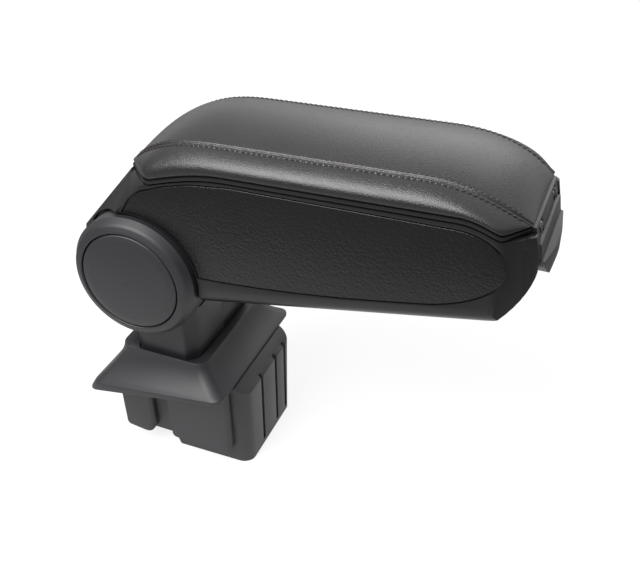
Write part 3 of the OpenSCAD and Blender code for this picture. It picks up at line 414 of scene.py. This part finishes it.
@dataclass
class LidCushion:
    """The padded lid: foam under leatherette, with a twin-stitched seam down each side.

    Places and sizes are in millimetres. `seam_x` and `seam_half` draw the seam
    in plan; `rear_dome` and `front_dome` are the lengths over which the crown
    rises from the ends, and `rear_sink` and `front_sink` those over which the
    seams come down to the lower edge.
    """

    rim: Rim = field(default_factory=Rim)
    half_width: float = 58.4
    rear_x: float = -5.1
    front_x: float = 278.9
    rear_half: float = 35.4
    front_half: float = 38.6
    rear_corner: float = 16.0
    front_corner: float = 264.0
    corner_soft: float = 2.5
    seat: float = 5.1
    seam_rise: float = 14.9
    seam_x: tuple[float, ...] = (-5, 8, 25, 60, 240, 263, 279)
    seam_half: tuple[float, ...] = (31.5, 37, 40.6, 42.3, 42.3, 41, 37)
    rear_sink: float = 80.0
    front_sink: float = 75.0
    crown: float = 8.0
    rear_dome: float = 60.0
    front_dome: float = 46.0
    dome_power: float = 2.2
    bulge: float = 0.9
    shoulder: float = 0.46
    puff_mm: float = 1.6
    puff_fade: float = 25.0
    foam_evens: int = 6
    air_pressure: float = 4.0
    cloth_steps: int = 20
    coarse: tuple[int, int] = (60, 8)
    fine_stations: int = 330
    seam_depth: float = 0.85
    seam_width: float = 0.75
    ridge_rise: float = 0.42
    ridge_at: float = 1.7
    ridge_width: float = 0.9
    stitch_row: float = 2.7
    stitch_pitch: float = 3.9
    stitch_gap: float = 0.9
    stitch_sink: float = 0.22
    stitch_width: float = 0.5
    stitch_arch: float = 0.5
    row_end: float = 5.0
    thread_r: float = 0.36
    thread_points: int = 7
    thread_sides: int = 7

    def half(self, x: np.ndarray) -> np.ndarray:
        """Gives the half width of the lower edge at each x."""
        rear = self.rear_half + (self.half_width - self.rear_half) * np.clip(
            (x - self.rear_x) / (self.rear_corner - self.rear_x), 0, 1.4)
        front = self.half_width - (self.half_width - self.front_half) * (
            x - self.front_corner) / (self.front_x - self.front_corner)
        cut = (self.half_width - np.minimum(rear, front)) / self.corner_soft
        return self.half_width - self.corner_soft * (np.log1p(np.exp(cut)) - 0.12)

    def seam(self, x: np.ndarray) -> tuple[np.ndarray, np.ndarray]:
        """Gives the seam's half width and height at each x."""
        ends = np.array([self.rear_x, self.front_x])
        tall = self.rim.line(ends) + self.seam_rise - self.rim.at(ends) - 0.5
        height = self.rim.line(x) + self.seat + self.seam_rise
        height -= tall[0] * (1 - np.clip((x - self.rear_x) / self.rear_sink, 0, 1)) ** 3
        height -= tall[1] * (1 - np.clip((self.front_x - x) / self.front_sink, 0, 1)) ** 2.4
        return smooth_line(self.seam_x, self.seam_half, x), height

    def dome(self, reach: float) -> float:
        """Gives the crown's share of its full rise, from a share of the way in from an end."""
        return math.sqrt(max(0.0, 1 - (1 - min(1, max(0, reach))) ** self.dome_power))

    def section(self, x: float, across: np.ndarray) -> np.ndarray:
        """Gives points of the cross-section at x.

        Args:
            x: Where the section is cut.
            across: Parameters from -2 at one lower edge over the seams at
                -1 and 1 to 2 at the other lower edge.

        Returns:
            Points of the section in the pivot frame.
        """
        at = np.array([x])
        w, low = float(self.half(at)[0]), float(self.rim.at(at)[0]) + self.seat
        seam_y, seam_z = (float(v[0]) for v in self.seam(at))
        rise = self.crown * (self.dome((x - self.rear_x) / self.rear_dome)
                             * self.dome((self.front_x - x) / self.front_dome))
        seam_z = max(seam_z, low + 0.6)
        side = np.clip(np.abs(across) - 1, 0, 1)
        slope = 2 * rise / seam_y
        height = seam_z - low
        shoulder = self.shoulder * (w - seam_y)
        p0, p1 = np.array([w - self.bulge, low]), np.array([w + self.bulge, low + 0.5 * height])
        p2 = np.array([seam_y + shoulder, seam_z - min(shoulder * slope, 0.35 * height)])
        p3 = np.array([seam_y, seam_z])
        t = (1 - side)[:, None]
        band = (1 - t) ** 3 * p0 + 3 * (1 - t) ** 2 * t * p1 + 3 * (1 - t) * t * t * p2 + t ** 3 * p3
        k = np.clip(np.abs(across), 0, 1)
        y = np.where(np.abs(across) > 1, band[:, 0], seam_y * k)
        z = np.where(np.abs(across) > 1, band[:, 1], seam_z + rise * (1 - k * k))
        return np.stack([np.full_like(y, x), np.sign(across) * y, z], -1)

    def stations(self, count: int) -> np.ndarray:
        """Gives section places along the lid, closer together at both ends."""
        t = np.linspace(0, 1, count)
        eased = t - 0.13 * np.sin(2 * math.pi * t)
        return self.rear_x + (self.front_x - self.rear_x) * eased

    def columns(self, per_part: int) -> np.ndarray:
        """Gives places across the lid, closer together beside the seams."""
        top = np.linspace(0, 1, 2 * per_part + 1)
        band = 1 + np.linspace(0, 1, per_part + 1)[1:] ** 1.4
        half = np.concatenate([top, band])
        return np.concatenate([-half[::-1], half[1:]])

    def surface(self, stations: np.ndarray, columns: np.ndarray) -> np.ndarray:
        """Gives the cover's points for all stations and columns, in the pivot frame."""
        return np.stack([self.section(float(x), columns) for x in stations])

    def puffed(self) -> np.ndarray:
        """Finds how far the foam and air under the cover push each point of a coarse grid.

        Returns:
            Moves in millimetres, capped at `puff_mm` and evened out as the foam
            does. The seams and the lower edge stay put, so the panels swell
            between them.
        """
        stations, columns = self.stations(self.coarse[0]), self.columns(self.coarse[1])
        rest = self.surface(stations, columns)
        off_edge = np.clip((2 - np.abs(columns)) / 0.35, 0, 1)
        off_seam = np.clip(np.abs(np.abs(columns) - 1) / 0.25, 0, 1)
        ends = np.clip(np.minimum(stations - self.rear_x, self.front_x - stations) / self.puff_fade, 0, 1)
        free = ends[:, None] * (off_edge * off_seam)[None, :]
        normal = self.normals(rest)
        held = np.zeros(free.shape, bool)
        held[[0, 1, -2, -1], :] = True
        held[:, (off_edge < 0.3) | (off_seam < 0.2)] = True
        swell = np.clip(np.sum((self.blown(rest, held) - rest) * normal, axis=-1), 0, self.puff_mm)
        for _ in range(self.foam_evens):
            wide = np.pad(swell, 1, mode="edge")
            swell = (wide[:-2, 1:-1] + wide[2:, 1:-1] + wide[1:-1, :-2] + wide[1:-1, 2:]) / 4
        return normal * (free * swell)[:, :, None]

    def blown(self, rest: np.ndarray, held: np.ndarray) -> np.ndarray:
        """Runs the cover as cloth under air pressure.

        Args:
            rest: The cover's points at rest, in the pivot frame.
            held: Which of them are sewn or clamped down.

        Returns:
            The points after the run, in the pivot frame.
        """
        rig = grid_mesh("cloth_rig", to_row(rest), closed=False)
        rig.vertex_groups.new(name="held").add(np.flatnonzero(held).tolist(), 1.0, "REPLACE")
        cloth = rig.modifiers.new("cloth", "CLOTH")
        cloth.settings.quality = 6
        cloth.settings.mass = 0.25
        cloth.settings.tension_stiffness = cloth.settings.compression_stiffness = 12
        cloth.settings.shear_stiffness = cloth.settings.bending_stiffness = 8
        cloth.settings.use_pressure = True
        cloth.settings.uniform_pressure_force = self.air_pressure
        cloth.settings.vertex_group_mass = "held"
        cloth.settings.effector_weights.gravity = 0.0
        cloth.collision_settings.use_self_collision = False
        scene = bpy.context.scene
        for step in range(1, self.cloth_steps + 1):
            scene.frame_set(step)
        moved = rig.evaluated_get(bpy.context.evaluated_depsgraph_get()).to_mesh()
        after = np.array([v.co for v in moved.vertices], float).reshape(rest.shape)
        bpy.data.objects.remove(rig)
        scene.frame_set(1)
        return rest + (after - to_row(rest)) / MM

    def fine_surface(self, shift: np.ndarray, stations: np.ndarray, columns: np.ndarray) -> np.ndarray:
        """Adds the cloth's moves and the seam's valley to a fine cover.

        Args:
            shift: Moves of the coarse grid.
            stations: The fine grid's places along the lid.
            columns: The fine grid's places across it.

        Returns:
            Points of the cover in the pivot frame.
        """
        base = self.surface(stations, columns)
        own_s, own_c = self.stations(self.coarse[0]), self.columns(self.coarse[1])
        along = np.array([[np.interp(stations, own_s, shift[:, j, a]) for a in range(3)]
                          for j in range(len(own_c))])
        moves = np.array([[np.interp(columns, own_c, along[:, a, i]) for a in range(3)]
                          for i in range(len(stations))])
        base = base + moves.transpose(0, 2, 1)
        normal = self.normals(base)
        for side in (-1, 1):
            seam_line = np.array([[np.interp(side, columns, ring[:, a]) for a in range(3)] for ring in base])
            away = np.linalg.norm(base[:, :, 1:] - seam_line[:, None, 1:], axis=-1)
            valley = self.seam_depth * np.exp(-(away / self.seam_width) ** 2)
            ridge = self.ridge_rise * np.exp(-((away - self.ridge_at) / self.ridge_width) ** 2)
            sunk = self.stitch_sink * np.exp(-((away - self.stitch_row) / self.stitch_width) ** 2)
            base = base + normal * (ridge - valley - sunk)[:, :, None]
        return base

    @staticmethod
    def normals(grid: np.ndarray) -> np.ndarray:
        """Gives unit normals of a grid that runs along X and then across, pointing out."""
        along, across = np.gradient(grid, axis=0), np.gradient(grid, axis=1)
        cross = np.cross(along, across)
        return cross / np.maximum(np.linalg.norm(cross, axis=-1, keepdims=True), 1e-9)

    def build(self) -> list[bpy.types.Object]:
        """Builds the cover and its stitches and returns them."""
        shift = self.puffed()
        columns = self.fine_columns()
        stations = self.stations(self.fine_stations)
        cover = self.fine_surface(shift, stations, columns)
        low = cover[:, [0, -1], :].copy()
        under = []
        for t in (0.0, 0.25, 0.5, 0.75, 1.0):
            line = low[:, 1] * (1 - t) + low[:, 0] * t
            line[:, 1] *= 0.985
            under.append(line)
        rings = np.concatenate([cover, np.stack(under, 1)], axis=1)
        piece = grid_mesh("lid_cushion_cover", to_row(rings))
        piece.data.materials.append(MATERIALS[TOP_LEATHERETTE.name])
        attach(piece, Body.LID.value)
        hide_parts("lid_cushion")
        return [piece, self.stitches(cover, stations, columns)]

    def fine_columns(self) -> np.ndarray:
        """Gives fine places across the lid, very close together beside the seams."""
        top = np.concatenate([np.linspace(0, 0.86, 34)[:-1], np.linspace(0.86, 1, 15)])
        band = np.concatenate([1 + np.linspace(0, 0.3, 15)[1:], np.linspace(1.3, 2, 20)[1:]])
        half = np.concatenate([top, band])
        return np.concatenate([-half[::-1], half[1:]])

    def stitches(self, cover: np.ndarray, stations: np.ndarray, columns: np.ndarray) -> bpy.types.Object:
        """Lays the stitches of the four rows into the cover.

        Args:
            cover: The fine cover's points in the pivot frame.
            stations: The cover's places along the lid; not used.
            columns: The cover's places across it.

        Returns:
            One piece that holds all the stitches.
        """
        normal = self.normals(cover)
        bow = np.sin(np.linspace(0, math.pi, self.thread_points)) ** 0.5
        arch = self.stitch_arch * bow - 0.28
        points, faces = [], []
        for side in (-1, 1):
            for row in (-1, 1):
                line, up = self.row_line(cover, normal, columns, side, row)
                length = np.concatenate([[0], np.cumsum(np.linalg.norm(np.diff(line, axis=0), axis=1))])
                start = self.row_end
                while start + self.stitch_pitch < length[-1] - self.row_end:
                    span = np.linspace(start, start + self.stitch_pitch - self.stitch_gap, self.thread_points)
                    spine = np.stack([np.interp(span, length, line[:, a]) for a in range(3)], -1)
                    lift = np.stack([np.interp(span, length, up[:, a]) for a in range(3)], -1)
                    spine = spine + lift * arch[:, None]
                    self.add_thread(points, faces, spine, lift)
                    start += self.stitch_pitch
        mesh = bpy.data.meshes.new("lid_stitches")
        mesh.from_pydata(to_row(np.array(points)).tolist(), [], faces)
        mesh.shade_smooth()
        piece = bpy.data.objects.new("lid_stitches", mesh)
        bpy.context.scene.collection.objects.link(piece)
        piece.data.materials.append(MATERIALS[THREAD.name])
        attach(piece, Body.LID.value)
        return piece

    def row_line(self, cover: np.ndarray, normal: np.ndarray, columns: np.ndarray,
                 side: int, row: int) -> tuple[np.ndarray, np.ndarray]:
        """Finds a stitch row on the cover, a fixed distance from the seam.

        Args:
            cover: The fine cover's points.
            normal: The cover's normals.
            columns: The cover's places across the lid.
            side: Which seam, -1 or 1.
            row: -1 for the row on the top panel, 1 for the row on the band.

        Returns:
            Points of the row and the normals there.
        """
        line, up = [], []
        half = columns * side
        order = np.argsort(half)
        picked = order[(half[order] > 0.5) & (half[order] < 1.6)]
        for ring, rises in zip(cover, normal):
            path = ring[picked]
            reach = np.concatenate([[0], np.cumsum(np.linalg.norm(np.diff(path, axis=0), axis=1))])
            seam_at = np.interp(1.0, half[picked], reach)
            want = seam_at + row * self.stitch_row
            line.append([np.interp(want, reach, path[:, a]) for a in range(3)])
            up.append([np.interp(want, reach, rises[picked][:, a]) for a in range(3)])
        return np.array(line), np.array(up)

    def add_thread(self, points: list, faces: list, spine: np.ndarray, lift: np.ndarray) -> None:
        """Adds one stitch as a short thread that dips into the cover at both ends.

        Args:
            points: The points made so far, added to.
            faces: The faces made so far, added to.
            spine: The thread's centre line.
            lift: Directions out of the cover along it.
        """
        first = len(points)
        along = np.gradient(spine, axis=0)
        along /= np.linalg.norm(along, axis=1, keepdims=True)
        across = np.cross(along, lift)
        across /= np.linalg.norm(across, axis=1, keepdims=True)
        out = np.cross(across, along)
        sides = self.thread_sides
        for i, centre in enumerate(spine):
            r = self.thread_r * (0.75 if i in (0, len(spine) - 1) else 1.0)
            for k in range(sides):
                a = 2 * math.pi * k / sides
                points.append(centre + r * (math.cos(a) * across[i] * 1.15 + math.sin(a) * out[i]))
        for i in range(len(spine) - 1):
            for k in range(sides):
                n = (k + 1) % sides
                faces.append((first + i * sides + k, first + i * sides + n,
                              first + (i + 1) * sides + n, first + (i + 1) * sides + k))
        faces.append(tuple(first + k for k in reversed(range(sides))))
        faces.append(tuple(first + (len(spine) - 1) * sides + k for k in range(sides)))


@dataclass(frozen=True)
class Dress:
    """How a CAD node is finished: its finish and the width of its broken edges."""

    finish: Finish
    slot: str
    edge_mm: float = 0.0


def finish_node(name: str, dress: Dress) -> None:
    """Gives a CAD node its material and, where it shows, softly broken edges.

    Args:
        name: The node's name.
        dress: Its finish and edge width.
    """
    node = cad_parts[name]
    node.data.materials.clear()
    node.data.materials.append(MATERIALS[dress.finish.name])
    weld = node.modifiers.new("weld", "WELD")
    weld.merge_threshold = 0.002 * MM
    if dress.edge_mm:
        bevel = node.modifiers.new("broken_edges", "BEVEL")
        bevel.width = dress.edge_mm * MM
        bevel.segments = 3
        bevel.limit_method = "ANGLE"
        bevel.angle_limit = math.radians(32)
        bevel.miter_outer = "MITER_ARC"
        bevel.use_clamp_overlap = True
    node.data.shade_smooth()
    smooth = node.modifiers.new("smooth_by_angle", "NODES")
    smooth.node_group = smooth_group()


def smooth_group() -> bpy.types.NodeTree:
    """Gives the geometry nodes that keep only sharp edges sharp, made on first use."""
    found = bpy.data.node_groups.get("smooth_by_angle")
    if found:
        return found
    tree = bpy.data.node_groups.new("smooth_by_angle", "GeometryNodeTree")
    tree.interface.new_socket("Geometry", in_out="INPUT", socket_type="NodeSocketGeometry")
    tree.interface.new_socket("Geometry", in_out="OUTPUT", socket_type="NodeSocketGeometry")
    start = add_node(tree, "NodeGroupInput")
    angle = add_node(tree, "GeometryNodeInputMeshEdgeAngle")
    sharp = add_node(tree, "FunctionNodeCompare", {"operation": "LESS_EQUAL", 1: math.radians(34)},
                     {0: angle.outputs[0]})
    shade = add_node(tree, "GeometryNodeSetShadeSmooth", {"domain": "EDGE"},
                     {"Geometry": start.outputs[0], "Shade Smooth": sharp.outputs[0]})
    add_node(tree, "NodeGroupOutput", links={0: shade.outputs[0]})
    return tree


def dress_nodes(dresses: dict[Dress, list[str]]) -> list[str]:
    """Finishes a sub-assembly's nodes.

    Args:
        dresses: The node names that take each dress.

    Returns:
        All the names.
    """
    for dress, names in dresses.items():
        for name in names:
            finish_node(name, dress)
    return [name for names in dresses.values() for name in names]


@dataclass
class StorageArm:
    """The storage box that tilts on the stalk, with its liner, panels, pins and striker."""

    satin: Dress = Dress(BOX_PLASTIC, "satin_plastic", 0.7)
    corner: Dress = Dress(BOX_PLASTIC, "satin_plastic", 0.5)
    panel: Dress = Dress(PANEL_PLASTIC, "grained_plastic", 0.6)
    tub: Dress = Dress(DARK_PLASTIC, "black_plastic", 0.4)
    bezel: Dress = Dress(DARK_PLASTIC, "black_plastic", 0.3)
    plated: Dress = Dress(ZINC_PLATE, "plated_steel")
    sprung: Dress = Dress(SPRING_STEEL, "spring_steel")

    def build(self) -> list[str]:
        """Dresses the arm's nodes and returns their names."""
        return dress_nodes({
            self.satin: ["box_shell"],
            self.corner: ["nose_corner_left", "nose_corner_right"],
            self.panel: ["side_panel_left", "side_panel_right"],
            self.tub: ["storage_liner"],
            self.plated: ["liner_screws", "hinge_pin_left", "hinge_pin_right", "pivot_tube"],
            self.bezel: ["latch_bezel"],
            self.sprung: ["striker_clip"]})


@dataclass
class LidFrame:
    """The moulded carrier under the cushion, with its liner and the latch's pin and springs."""

    satin: Dress = Dress(BOX_PLASTIC, "satin_plastic", 0.5)
    liner: Dress = Dress(DARK_PLASTIC, "black_plastic", 0.4)
    plated: Dress = Dress(ZINC_PLATE, "plated_steel")
    sprung: Dress = Dress(SPRING_STEEL, "spring_steel")

    def build(self) -> list[str]:
        """Dresses the lid's nodes and returns their names."""
        return dress_nodes({
            self.satin: ["lid_carrier"],
            self.liner: ["lid_liner"],
            self.plated: ["lid_liner_screws", "latch_pin"],
            self.sprung: ["latch_spring_left", "latch_spring_right"]})


@dataclass
class LatchGrip:
    """The grip in the lid's front plate that fingers pull to open the lid."""

    grip: Dress = Dress(GRIP_PLASTIC, "moulded_plastic", 0.4)

    def build(self) -> list[str]:
        """Dresses the grip and returns its name."""
        return dress_nodes({self.grip: ["latch_paddle"]})


@dataclass
class StalkBase:
    """The forked stalk, its pivot and covers, and the collar and plug it stands in."""

    stalk: Dress = Dress(STALK_PLASTIC, "moulded_plastic", 0.6)
    cover: Dress = Dress(STALK_PLASTIC, "moulded_plastic")
    collar: Dress = Dress(STALK_PLASTIC, "moulded_plastic", 0.5)
    plug: Dress = Dress(STALK_PLASTIC, "moulded_plastic", 0.7)
    pressed: Dress = Dress(ZINC_PLATE, "plated_steel", 0.3)
    plated: Dress = Dress(ZINC_PLATE, "plated_steel")
    sprung: Dress = Dress(SPRING_STEEL, "spring_steel")
    fibre: Dress = Dress(FIBRE, "friction_fibre")

    def build(self) -> list[str]:
        """Dresses the base's nodes and returns their names."""
        return dress_nodes({
            self.stalk: ["stalk_shell_left", "stalk_shell_right"],
            self.cover: ["cover_ring_left", "cover_ring_right", "cover_disc_left", "cover_disc_right"],
            self.collar: ["base_collar"],
            self.plug: ["base_plug"],
            self.pressed: ["stalk_bracket", "pivot_bolt", "pivot_nut", "foot_plate"],
            self.plated: ["foot_screws", "bracket_screws"],
            self.sprung: ["spring_washer"],
            self.fibre: ["friction_washers"]})


@dataclass(frozen=True)
class Lamp:
    """A square softbox; its radiance is the brightness of its face, where 1 is white."""

    name: str
    place: tuple[float, float, float]
    size: float
    radiance: float


@dataclass
class Studio:
    """A pale floor, soft lamps and the camera at the photograph's place.

    Lamps and floor are in metres. Gloss and soft light see a painted disc of light
    on the floor: full brightness within its first radius, dimming from the second.
    """

    azimuth: float = 21.738
    elevation: float = 34.020
    focal_px: float = 906.70
    image_px: float = 640.0
    place_mm: tuple[float, float, float] = (334.7, -528.2, 373.4)
    # Radii in metres of the painted disc of light on the floor
    painted_pool_m: tuple[float, float] = (0.24, 0.46)
    floor_radius: float = 6.0
    floor_drop: float = 0.0005
    floor_glow: float = 0.82
    room_tones: tuple[float, float] = (0.10, 0.95)
    gloss_lift: float = 0.12
    middle: tuple[float, float, float] = (0.1, 0.0, 0.22)
    key: Lamp = Lamp("key_softbox", (-0.42, -0.98, 1.45), 1.25, 10.0)
    back: Lamp = Lamp("back_softbox", (0.1, 1.7, 1.5), 1.6, 1.7)

    def camera(self) -> None:
        """Sets up the camera."""
        a, e = math.radians(self.azimuth), math.radians(self.elevation)
        right = Vector((math.cos(a), math.sin(a), 0))
        up = Vector((-math.sin(a) * math.sin(e), math.cos(a) * math.sin(e), math.cos(e)))
        back = Vector((math.sin(a) * math.cos(e), -math.cos(a) * math.cos(e), math.sin(e)))
        data = bpy.data.cameras.new("photo_camera")
        data.sensor_width = 36.0
        data.lens = self.focal_px / self.image_px * 36.0
        data.clip_start, data.clip_end = 0.01, 30.0
        camera = bpy.data.objects.new("photo_camera", data)
        bpy.context.scene.collection.objects.link(camera)
        turn = Matrix((right, up, back)).transposed().to_4x4()
        camera.matrix_world = Matrix.Translation(Vector(to_row(self.place_mm))) @ turn
        bpy.context.scene.camera = camera

    def hang(self, lamp: Lamp) -> None:
        """Hangs a lamp that looks at the middle of the part.

        Args:
            lamp: The lamp's name, place, size and brightness.
        """
        data = bpy.data.lights.new(lamp.name, "AREA")
        data.shape = "SQUARE"
        data.size = lamp.size
        data.energy = lamp.radiance * math.pi * lamp.size * lamp.size
        softbox = bpy.data.objects.new(lamp.name, data)
        bpy.context.scene.collection.objects.link(softbox)
        softbox.location = lamp.place
        softbox.rotation_mode = "QUATERNION"
        aim = Vector(self.middle) - Vector(lamp.place)
        softbox.rotation_quaternion = aim.to_track_quat("-Z", "Y")

    def world(self) -> None:
        """Sets a room that is pale above and behind, and dark in front at eye level.

        The camera sees it white, and gloss sees its dark side a little lifted.
        """
        world = bpy.data.worlds.new("studio_room")
        world.use_nodes = True
        tree = world.node_tree
        tree.nodes.clear()
        place = add_node(tree, "ShaderNodeTexCoord").outputs["Generated"]
        split = add_node(tree, "ShaderNodeSeparateXYZ", links={0: place})
        tall = add_node(tree, "ShaderNodeMapRange", {
            "interpolation_type": "SMOOTHSTEP", "From Min": 0.15, "From Max": 0.75,
            "To Min": 0.0, "To Max": 1.0}, {"Value": split.outputs["Z"]})
        behind = add_node(tree, "ShaderNodeMapRange", {
            "interpolation_type": "SMOOTHSTEP", "From Min": -0.1, "From Max": 0.7,
            "To Min": 0.0, "To Max": 1.0}, {"Value": split.outputs["Y"]})
        most = add_node(tree, "ShaderNodeMath", {"operation": "MAXIMUM"},
                        {0: tall.outputs["Result"], 1: behind.outputs["Result"]})
        level = add_node(tree, "ShaderNodeMapRange", {
            "To Min": self.room_tones[0], "To Max": self.room_tones[1]}, {"Value": most.outputs[0]})
        rays = add_node(tree, "ShaderNodeLightPath")
        glossy = add_node(tree, "ShaderNodeMath", {"operation": "MULTIPLY", 1: self.gloss_lift},
                          {0: rays.outputs["Is Glossy Ray"]})
        seen = add_node(tree, "ShaderNodeMath", {"operation": "MAXIMUM"},
                        {0: rays.outputs["Is Camera Ray"], 1: rays.outputs["Is Transmission Ray"]})
        seen = add_node(tree, "ShaderNodeMath", {"operation": "MAXIMUM"},
                        {0: seen.outputs[0], 1: glossy.outputs[0]})
        tone = add_node(tree, "ShaderNodeMath", {"operation": "MAXIMUM"},
                        {0: level.outputs["Result"], 1: seen.outputs[0]})
        back = add_node(tree, "ShaderNodeBackground", {"Color": (1.0, 1.0, 1.0, 1.0)},
                        {"Strength": tone.outputs[0]})
        add_node(tree, "ShaderNodeOutputWorld", links={"Surface": back.outputs[0]})
        bpy.context.scene.world = world

    def floor(self) -> None:
        """Lays a pale floor that reads nearly white and keeps the soft shadow.

        Gloss and bounce light see it painted brightest in a disc of light round the part, and darker further
        out.
        """
        mesh = bpy.data.meshes.new("floor")
        ring = [(self.floor_radius * math.cos(t), self.floor_radius * math.sin(t), -self.floor_drop)
                for t in np.linspace(0, 2 * math.pi, 64, endpoint=False)]
        mesh.from_pydata(ring, [], [tuple(range(64))])
        floor = bpy.data.objects.new("floor", mesh)
        bpy.context.scene.collection.objects.link(floor)
        material = bpy.data.materials.new("Pale_paper_floor")
        material.use_nodes = True
        tree = material.node_tree
        tree.nodes.clear()
        rays = add_node(tree, "ShaderNodeLightPath")
        place = add_node(tree, "ShaderNodeTexCoord").outputs["Object"]
        reach = add_node(tree, "ShaderNodeVectorMath", {"operation": "LENGTH"}, {0: place})
        # Painted disc of light: the floor is painted bright near the part and dark further out, as gloss and
        # bounce light see it
        painted_pool = add_node(tree, "ShaderNodeMapRange", {
            "interpolation_type": "SMOOTHSTEP", "From Min": self.painted_pool_m[0], "From Max": self.painted_pool_m[1],
            "To Min": 1.0, "To Max": self.gloss_lift}, {"Value": reach.outputs["Value"]})
        glossy = add_node(tree, "ShaderNodeMath", {"operation": "MULTIPLY"},
                          {0: rays.outputs["Is Glossy Ray"], 1: painted_pool.outputs["Result"]})
        seen = add_node(tree, "ShaderNodeMath", {"operation": "MAXIMUM"},
                        {0: rays.outputs["Is Camera Ray"], 1: glossy.outputs[0]})
        seen = add_node(tree, "ShaderNodeMath", {"operation": "MAXIMUM"},
                        {0: seen.outputs[0], 1: rays.outputs["Is Transmission Ray"]})
        share = add_node(tree, "ShaderNodeMath", {"operation": "MULTIPLY", 1: self.floor_glow},
                         {0: seen.outputs[0]})
        # Painted light on the paper: light inside the painted disc and where the camera looks, dark outside
        # it
        painted_floor_light = add_node(tree, "ShaderNodeMath", {"operation": "MAXIMUM"},
                       {0: painted_pool.outputs["Result"], 1: rays.outputs["Is Camera Ray"]})
        tone = add_node(tree, "ShaderNodeMix", {
            "data_type": "RGBA", 6: (0.1, 0.1, 0.1, 1.0), 7: (0.86, 0.86, 0.86, 1.0)}, {0: painted_floor_light.outputs[0]})
        paper = add_node(tree, "ShaderNodeBsdfDiffuse", links={"Color": tone.outputs[2]})
        white = add_node(tree, "ShaderNodeEmission", {"Color": (1.0, 1.0, 1.0, 1.0), "Strength": 1.0})
        mix = add_node(tree, "ShaderNodeMixShader", links={
            0: share.outputs[0], 1: paper.outputs[0], 2: white.outputs[0]})
        add_node(tree, "ShaderNodeOutputMaterial", links={"Surface": mix.outputs[0]})
        mesh.materials.append(material)

    def build(self) -> None:
        """Builds the whole stage."""
        self.camera()
        self.world()
        self.floor()
        self.hang(self.key)
        self.hang(self.back)
        bpy.context.scene.view_settings.view_transform = "Standard"


def main() -> None:
    """Sets the stage, dresses the part and reports each piece."""
    logging.basicConfig(level=logging.INFO, format="%(name)s: %(message)s")
    Studio().build()
    for assembly in (StorageArm(), LidFrame(), LatchGrip(), StalkBase()):
        for name in assembly.build():
            LOG.info("%s: dressed", name)
    for piece in LidCushion().build():
        LOG.info("%s: %d faces", piece.name, len(piece.data.polygons))


if __name__ == "__main__":
    main()
